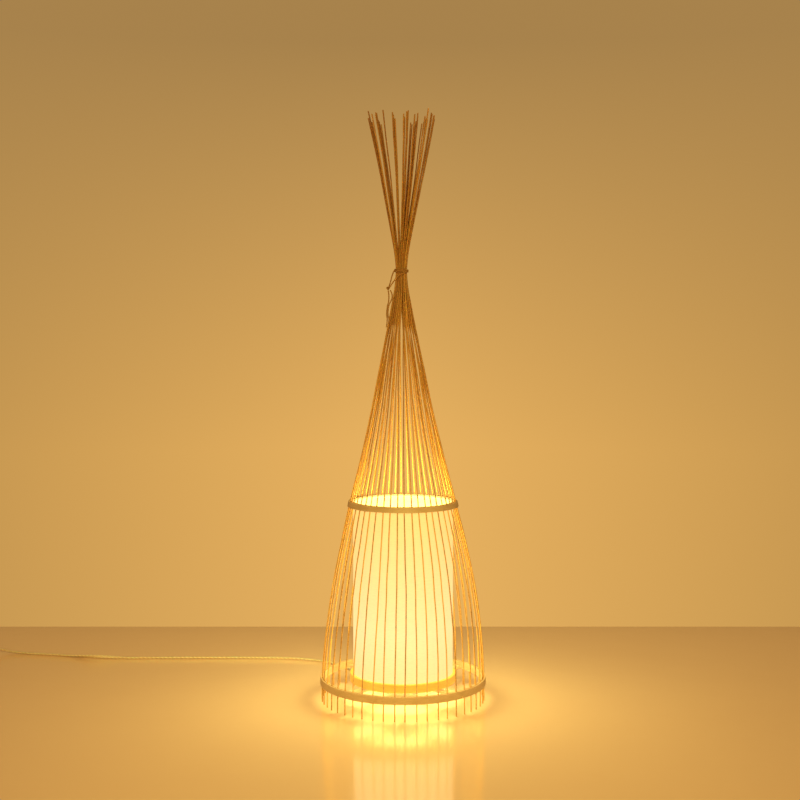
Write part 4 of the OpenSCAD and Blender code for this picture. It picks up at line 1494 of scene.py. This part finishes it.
@dataclass
class NeckTie:
    """Two-ply twine: three wraps round the neck, two loops, a knot and two hanging tails."""

    diameter: float = 2.1 * MM
    lay: float = 5.2 * MM
    turns: float = 3.12
    start_turn: float = -0.25
    step: float = 0.45 * MM
    knot_scale: tuple[float, float, float] = (0.72, 0.8, 0.66)
    seed: int = 12
    knot: tuple[float, float, float] = (-21.9, -5.4, 614.1)
    loops: tuple = (
        ((-12.4, -3.4, 640.6), (-13.6, -4.2, 638.9), (-15.2, -4.6, 635.3), (-16.8, -4.8, 630.2), (-18, -4.8, 625.1),
         (-19.2, -4.8, 621), (-20.2, -4.8, 617.9), (-21, -5, 615.6)),
        ((2.4, -9.8, 636.9), (-1.8, -10.8, 635.1), (-6.1, -10.8, 632.7), (-10.1, -9.8, 628.7), (-13.6, -8.4, 624.3),
         (-16.5, -7.2, 620.1), (-18.4, -6.4, 617.2), (-20, -5.8, 615.4)),
    )
    tails: tuple = (
        ((-21.9, -5.4, 610.5), (-21.1, -5.4, 605.5), (-21, -5.4, 598.8), (-21.7, -5.6, 592.7), (-23.1, -5.8, 587.4),
         (-23.8, -6, 581.4), (-24.2, -6.6, 575.3), (-23.4, -7.6, 569.3), (-23.7, -8.2, 562.6), (-24.7, -8.2, 555.9)),
        ((-19, -6.4, 611), (-17.1, -7.2, 607.5), (-16, -8.6, 602.7), (-16.9, -9.2, 597.3), (-19.1, -9.2, 592.7),
         (-21, -9, 588), (-22, -8.8, 582), (-22.3, -9.4, 576), (-21, -11.4, 569.3), (-18.7, -13.8, 563.3),
         (-17.3, -15.4, 557.2), (-18, -16.2, 550.6), (-19.1, -16.6, 544.6)),
    )

    def plies(self, path: np.ndarray, tone: float, thin_end: bool = False) -> Shape:
        """Twists two strands along a path.

        Args:
            path: The twine's middle line.
            tone: How light the twine is.
            thin_end: Whether the strands thin out at the far end.

        Returns:
            The two strands' shape.
        """
        s = run_length(path)
        u, v = carried_frames(path, (0.3, 0.2, 1.0))
        strands = []
        for k in (0, 1):
            turn = TURN * s / self.lay + k * math.pi
            off = 0.235 * self.diameter
            line = path + off * (np.cos(turn)[:, None] * u + np.sin(turn)[:, None] * v)
            wide = 1 + 0.06 * np.sin(s * TURN / (7.3 * MM) + k) + 0.05 * np.sin(s * TURN / (2.9 * MM))
            if thin_end:
                wide = wide * (1 - 0.55 * clear_of(s, s[-1] - 3 * MM, s[-1]))
            wide[0] *= 0.7
            wide[-1] *= 0.5
            rings = ring_of(8, 0.27 * self.diameter)[None] * wide[:, None, None]
            strands.append(sweep(line, rings, carried_frames(line, (0.3, 0.2, 1.0)), tone + 0.12 * k, k * 3.1))
        return Shape.join(strands)

    def hairs(self, path: np.ndarray, count: int, rng: np.random.Generator) -> list[Shape]:
        """Builds fine loose fibres that stand off the twine.

        Args:
            path: The twine's middle line.
            count: Number of fibres.
            rng: Source of their places and bends.

        Returns:
            One shape for each fibre.
        """
        found = []
        for _ in range(count):
            i = int(rng.integers(2, len(path) - 3))
            way = unit(rng.normal(size=3) * [1, 1, 0.6] + 0.8 * unit(path[i + 1] - path[i]))
            long = rng.uniform(0.8, 2.0) * MM
            bend = unit(rng.normal(size=3)) * 0.3 * long
            t = np.linspace(0, 1, 5)[:, None]
            line = path[i] + way * (0.3 * MM + long * t) + bend * t**2
            rings = ring_of(3, 0.035 * MM)[None] * (1 - 0.7 * t)[..., None]
            found.append(sweep(line, rings, carried_frames(line, (0.3, 0.9, 0.2)), 0.9))
        return found

    def build(self) -> None:
        """Builds the wraps, the loops, the knot and the tails."""
        rng = np.random.default_rng(self.seed)
        points = node_points("neck_binding")
        low, high = points.min(axis=0), points.max(axis=0)
        middle = (low + high) / 2
        radius = (high[0] - low[0]) / 2 - self.diameter / 2
        rows = 420
        a = np.linspace(self.start_turn, self.turns + self.start_turn, rows) * TURN
        rise = np.linspace(low[2] + self.diameter / 2, high[2] - self.diameter / 2, rows)
        wobble = radius + 0.12 * MM * np.sin(5 * a) + 0.1 * MM * np.sin(13 * a)
        wraps = np.column_stack([middle[0] + wobble * np.cos(a), wobble * np.sin(a), rise])
        parts = [self.plies(wraps, 0.42), *self.hairs(wraps, 30, rng)]
        finished(Shape.join(parts).make("twine_wraps", 60), Body.LAMP, TWINE, Slot.TWINE, "neck_binding")

        loops = [smooth_path(np.array(loop) * MM, self.step) for loop in self.loops]
        parts = [self.plies(loop, 0.45 + 0.1 * k) for k, loop in enumerate(loops)]
        parts += [h for loop in loops for h in self.hairs(loop, 8, rng)]
        finished(Shape.join(parts).make("twine_loops", 60), Body.LAMP, TWINE, Slot.TWINE, "twine_ends")

        t = np.linspace(0, TURN, 90)
        trefoil = np.column_stack([np.sin(t) + 2 * np.sin(2 * t), -np.sin(3 * t), np.cos(t) - 2 * np.cos(2 * t)])
        knot = trefoil * np.array(self.knot_scale) * MM + np.array(self.knot) * MM
        finished(self.plies(knot, 0.35).make("twine_knot", 60), Body.LAMP, TWINE, Slot.TWINE, "binding_knot")

        for name, tail in zip(("twine_tail_left", "twine_tail_right"), self.tails):
            path = smooth_path(np.array(tail) * MM, self.step)
            parts = [self.plies(path, 0.5, thin_end=True), *self.hairs(path, 14, rng)]
            piece = finished(Shape.join(parts).make(name, 60), Body.LAMP, TWINE, Slot.TWINE, "twine_ends")


@dataclass
class SupplyCord:
    """The flat clear flex from the lamp, its in-line switch, its coil and its plug."""

    width: float = 4.9 * MM
    thick: float = 2.6 * MM
    cord_d: float = 5.0 * MM
    exit_deg: float = 117.75
    route: tuple = (
        (-68, 131, 2.5), (-79, 153, 2.5), (-93, 177, 2.5), (-113, 200, 2.5), (-138, 219, 2.5),
        (-168, 232, 2.5), (-205, 238, 2.5), (-250, 240, 2.5), (-305, 241, 2.5), (-360, 241, 2.5),
        (-415, 240, 2.5), (-465, 239, 2.5), (-510, 242, 2.5), (-550, 250, 2.5), (-590, 260, 2.5),
        (-630, 268, 2.5), (-662, 276, 2.9), (-690, 286, 4.5), (-712, 290, 5.5),
    )
    start: tuple = ((41, 38), (50, 37), (62, 32), (75, 23), (88, 13.5), (101, 5.5), (114, 2.7), (128, 2.5))
    lead: tuple = (
        (-768, 290, 5.5), (-778.5, 286.5, 4.5), (-787, 279, 3.5), (-791.6, 269, 2.7),
        (-792, 256, 2.5), (-792, 242, 2.5),
    )
    coil: tuple[float, float] = (-759.5, 226.0)
    tail: tuple = ((-789.5, 220, 6.6), (-789.5, 214, 6.7), (-789.5, 208, 6.85), (-789.5, 200, 6.85))
    twist_x: tuple[float, float] = (-0.575, -0.455)
    run_to_switch: float = 0.814

    def settled(self, path: np.ndarray) -> np.ndarray:
        """Lets a round cord's middle line down to where a flat one lies.

        Args:
            path: The round cord's middle line.

        Returns:
            The flat cord's middle line.
        """
        out = path.copy()
        down = (self.cord_d - self.thick) / 2
        out[:, 2] -= down * (1 - clear_of(path[:, 2], 2.6 * MM, 6.0 * MM))
        return out

    def flex(self, path: np.ndarray, turn: np.ndarray, tone: float = 0.5) -> Shape:
        """Builds the two-core flex along its middle line.

        Args:
            path: The middle line.
            turn: How far the flat section is turned at each point.
            tone: How light the flex is.

        Returns:
            The flex's shape.
        """
        core = self.thick / 2
        off = self.width / 2 - core
        a = np.radians(np.arange(-115, 116, 23))
        right = np.column_stack([off + core * np.cos(a), core * np.sin(a)])
        section = np.vstack([right, -right])
        return sweep(path, turned(section, turn), level_frames(path), tone)

    def run(self) -> None:
        """Builds the long run from the holder to the switch."""
        way = (math.cos(math.radians(self.exit_deg)), math.sin(math.radians(self.exit_deg)))
        points = [(r * way[0], r * way[1], z) for r, z in self.start] + list(self.route)
        path = self.settled(smooth_path(np.array(points) * MM, 4 * MM))
        turn = math.pi * (1 - clear_of(path[:, 0], *self.twist_x))
        path[:, 2] += (self.width - self.thick) / 2 * np.abs(np.sin(turn))
        piece = finished(self.flex(path, turn).make("flex_run", 60), Body.LAMP, FLEX, Slot.FLEX, "cord")

    def coil_path(self) -> np.ndarray:
        """Winds the coil's middle line: three turns on the ground and two on top.

        Returns:
            The points, in millimetres.
        """
        marks = [180, 480, 540, 840, 900, 1200, 1260, 1560, 1620, 1980]
        a = np.arange(marks[0], marks[-1] + 0.1, 7.5)
        radii = [32.5, 32.5, 27.5, 27.5, 22.5, 22.5, 25, 25, 30, 30]
        level = [1.3, 1.3, 1.3, 1.3, 1.3, 1.3, 3.95, 3.95, 3.95, 3.95]
        r = np.interp(a, marks, radii)
        z = np.interp(a, marks, level)
        z += 2.65 * clear_of(a, 1895, 1955)
        t = np.radians(a)
        return np.column_stack([self.coil[0] + r * np.cos(t), self.coil[1] + r * np.sin(t), z])

    def rest(self) -> None:
        """Builds the lead, the coil and the end that goes into the plug."""
        lead = self.settled(np.array(self.lead) * MM) / MM
        points = np.vstack([lead, self.coil_path(), self.tail])
        path = smooth_path(points * MM, 3 * MM)
        flex = self.flex(path, np.zeros(len(path))).make("flex_coil", 60)
        piece = finished(flex, Body.LAMP, FLEX, Slot.FLEX, "cord_leads", "cord_coil")

    def relief(self) -> None:
        """Builds the tapered, ribbed strain relief at the holder."""
        low, high = 17.0, 41.0
        z = np.linspace(low, high, 60)
        r = np.interp(z, [17, 20, 23, 41], [4.5, 4.5, 4.4, 3.25])
        grooved = clear_of(z, 23.5, 25) * (1 - clear_of(z, 38.5, 40))
        grooves = 0.35 * (0.5 + 0.5 * np.cos(TURN * (z - 24) / 2.6)) * grooved
        outline = np.vstack([[(0.0, low)], np.column_stack([r - grooves, z]), [(0.0, high)]]) * MM
        place = Matrix.Translation((0, 0, 38 * MM)) @ Matrix.Rotation(math.radians(self.exit_deg), 4, "Z")
        shape = lathe(outline, 48).moved(place @ Matrix.Rotation(math.radians(90), 4, "Y"))
        finished(shape.make("strain_relief", 50), Body.LAMP, WHITE, Slot.HOLDER, "cord_gland")

    def plug(self) -> None:
        """Builds the plug's moulding and its two half-sleeved pins."""
        low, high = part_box("plug_body")
        back = ((low.x + high.x) / 2, high.y, (low.z + high.z) / 2)
        place = Matrix.Translation(back) @ Matrix.Rotation(math.radians(-90), 4, "Z")
        far = (high.y - low.y) / MM
        x = np.concatenate([np.linspace(0, 8, 17), np.linspace(8.4, far - 1.2, 44), [far - 0.4, far]])
        at = [0, 8, 10, 25, 33, 36, 42]
        wide = np.interp(x, at, [3.2, 4.5, 5.6, 10, 15.2, 17.2, 17.5])
        deep = np.interp(x, at, [3.2, 4.5, 5.2, 6.6, 6.85, 6.85, 6.85])
        square = np.interp(x, at, [2, 2, 2.2, 2.8, 3.2, 3.4, 3.4])
        groove = np.where(x < 8, 0.4, 0.0) * (0.5 - 0.5 * np.cos(TURN * x / 2.1))
        grip = np.where((x > 13) & (x < 30), 0.35, 0.0) * (0.5 - 0.5 * np.cos(TURN * x / 2.6))
        wide -= groove + grip
        deep -= groove
        wide[-1] -= 0.5
        deep[-1] -= 0.5
        rings = np.array([ring_of(40, 1.0, p) * [w, d] for p, w, d in zip(square, wide, deep)]) * MM
        path = np.column_stack([x * MM, np.zeros(len(x)), np.zeros(len(x))])
        side = np.tile([0.0, 1.0, 0.0], (len(x), 1))
        shape = sweep(path, rings, (side, np.tile([0.0, 0.0, 1.0], (len(x), 1)))).moved(place)
        finished(shape.make("plug_shell", 40), Body.LAMP, CREAM, Slot.PLUG, "plug_body")
        low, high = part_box("plug_pins")
        long, pin = (high.y - low.y) / MM, 2.0
        sleeve = eased([(0, 0), (pin, 0), (pin, 9.5), (pin - 0.15, 9.8), (0, 9.8)], 0.2) * MM
        nose = [(pin - 0.1, long - 1.6), (pin - 0.5, long - 0.5), (0.6, long), (0, long)]
        metal = np.array([(0, 9.6), (pin - 0.15, 9.6), *nose]) * MM
        forward = Matrix.Rotation(math.radians(90), 4, "X")
        for name, outline, finish, slot in (
            ("plug_pin_sleeves", sleeve, CREAM, Slot.PLUG), ("plug_pin_metal", metal, NICKEL, Slot.PIN),
        ):
            shapes = [
                lathe(outline, 32).moved(Matrix.Translation((pin_x, high.y, (low.z + high.z) / 2)) @ forward)
                for pin_x in (low.x + pin * MM, high.x - pin * MM)
            ]
            finished(Shape.join(shapes).make(name, 50), Body.LAMP, finish, slot, "plug_pins")

    def build(self) -> None:
        """Builds the flex with everything on it."""
        kept("switch_base", CREAM, 0.8 * MM)
        kept("switch_cover", CREAM, 0.5 * MM)
        kept("switch_rocker", WHITE, 0.4 * MM)
        kept("switch_screws", STEEL, 0.12 * MM)
        self.relief()
        self.plug()
        self.run()
        self.rest()


# ---------------------------------------------------------------- the studio


@dataclass
class Studio:
    """Floor, lights, background and camera."""

    eye: tuple[float, float, float] = (-0.0045, -1.950, 0.5537)
    pitch: float = 0.05376
    lens: float = 59.2
    sensor: float = 36.0
    floor_back: float = 0.48
    floor_reach: float = 3.2
    floor_thick: float = 0.05
    lamp_watts: float = 1.4
    key_watts: float = 10.0
    pool_watts: float = 225.0
    pool_place: tuple[float, float, float] = (0.0, -2.7, 1.6)
    pool_aim: tuple[float, float, float] = (0.0, -0.2, 0.0)
    pool_deg: float = 38.0
    pool_soft: float = 0.45
    lamp_heights: tuple[float, ...] = (0.09, 0.15, 0.21, 0.27)
    lamp_soft: float = 0.06
    light_colour: Colour = (1.0, 0.86, 0.22)
    lamp_colour: Colour = (1.0, 0.98, 0.31)
    horizon: Colour = (0.82, 0.45, 0.118)
    above: Colour = (0.39, 0.225, 0.072)

    def camera(self) -> None:
        """Sets up the camera."""
        data = bpy.data.cameras.new("camera")
        data.lens, data.sensor_width = self.lens, self.sensor
        made = bpy.data.objects.new("camera", data)
        bpy.context.scene.collection.objects.link(made)
        made.location = self.eye
        made.rotation_euler = (math.radians(90) - self.pitch, 0, 0)
        bpy.context.scene.camera = made

    def floor(self) -> None:
        """Lays the floor slab, with its back edge rounded over."""
        front, side, thick = -self.floor_reach, self.floor_reach, self.floor_thick
        edge = eased([(front, 0.0), (self.floor_back, 0.0), (self.floor_back, -thick), (front, -thick)], 0.004, 4)
        path = np.array([(-side, 0.0, 0.0), (side, 0.0, 0.0)])
        ways = (np.tile([0.0, 1.0, 0.0], (2, 1)), np.tile([0.0, 0.0, 1.0], (2, 1)))
        slab = sweep(path, edge, ways).make("floor", 30)
        slab.data.materials.append(GROUND.material())

    def background(self) -> None:
        """Sets a warm background that is brightest low down."""
        world = bpy.data.worlds.new("studio")
        bpy.context.scene.world = world
        world.use_nodes = True
        desk = Desk(world.node_tree)
        place = desk.node("ShaderNodeTexCoord").outputs["Generated"]
        height = desk.node("ShaderNodeSeparateXYZ", {0: place}).outputs[2]
        side = desk.maths("ABSOLUTE", desk.node("ShaderNodeSeparateXYZ", {0: place}).outputs[0])
        warm = desk.mix(desk.spread(side, 0.0, 0.34, (0.0, 0.33)), self.horizon, BLACK)
        colour = desk.mix(desk.spread(height, -0.09, 0.21), warm, self.above)
        back = desk.node("ShaderNodeBackground", {"Color": colour, "Strength": 1.0})
        desk.feed(desk.node("ShaderNodeOutputWorld").inputs["Surface"], back.outputs[0])

    def area(self, name: str, place: Sequence[float], aim: Sequence[float], size: float, watts: float) -> None:
        """Hangs one soft square light.

        Args:
            name: The light's name.
            place: Where it hangs.
            aim: The point that it faces.
            size: Its side.
            watts: Its power.
        """
        data = bpy.data.lights.new(name, "AREA")
        data.shape, data.size, data.energy, data.color = "SQUARE", size, watts, self.light_colour
        made = bpy.data.objects.new(name, data)
        bpy.context.scene.collection.objects.link(made)
        made.location = place
        made.rotation_mode = "QUATERNION"
        made.rotation_quaternion = (Vector(place) - Vector(aim)).to_track_quat("Z", "Y")

    def pool(self) -> None:
        """Aims one soft round light at the lamp's foot."""
        data = bpy.data.lights.new("foot_pool", "SPOT")
        data.energy, data.color, data.shadow_soft_size = self.pool_watts, self.light_colour, self.pool_soft
        data.spot_size, data.spot_blend = math.radians(self.pool_deg), 1.0
        made = bpy.data.objects.new(data.name, data)
        bpy.context.scene.collection.objects.link(made)
        made.location = self.pool_place
        made.rotation_mode = "QUATERNION"
        made.rotation_quaternion = (Vector(self.pool_place) - Vector(self.pool_aim)).to_track_quat("Z", "Y")

    def lamp_light(self) -> None:
        """Puts the lamp's own light on its axis, inside the shade."""
        for k, height in enumerate(self.lamp_heights):
            data = bpy.data.lights.new(f"lamp_light_{k}", "POINT")
            data.energy, data.color, data.shadow_soft_size = self.lamp_watts, self.lamp_colour, self.lamp_soft
            made = bpy.data.objects.new(data.name, data)
            bpy.context.scene.collection.objects.link(made)
            made.location = (0, 0, height)
            made.visible_glossy = False

    def build(self) -> None:
        """Sets up everything but the camera."""
        self.floor()
        self.background()
        self.area("front_softbox", (0.3, -2.6, 2.0), (0, 0, 0.3), 1.8, self.key_watts)
        self.pool()
        self.lamp_light()
        bpy.context.scene.view_settings.view_transform = "Standard"


def main() -> None:
    """Builds the camera, the cord, the lamp and the studio, in that order."""
    logging.basicConfig(level=logging.INFO, format="%(name)s: %(message)s")
    studio = Studio()
    studio.camera()
    SupplyCord().build()
    Sheaf().build()
    Hoops().build()
    Shade().build()
    Holder().build()
    Bulb().build()
    NeckTie().build()
    studio.build()


if __name__ == "__main__":
    main()
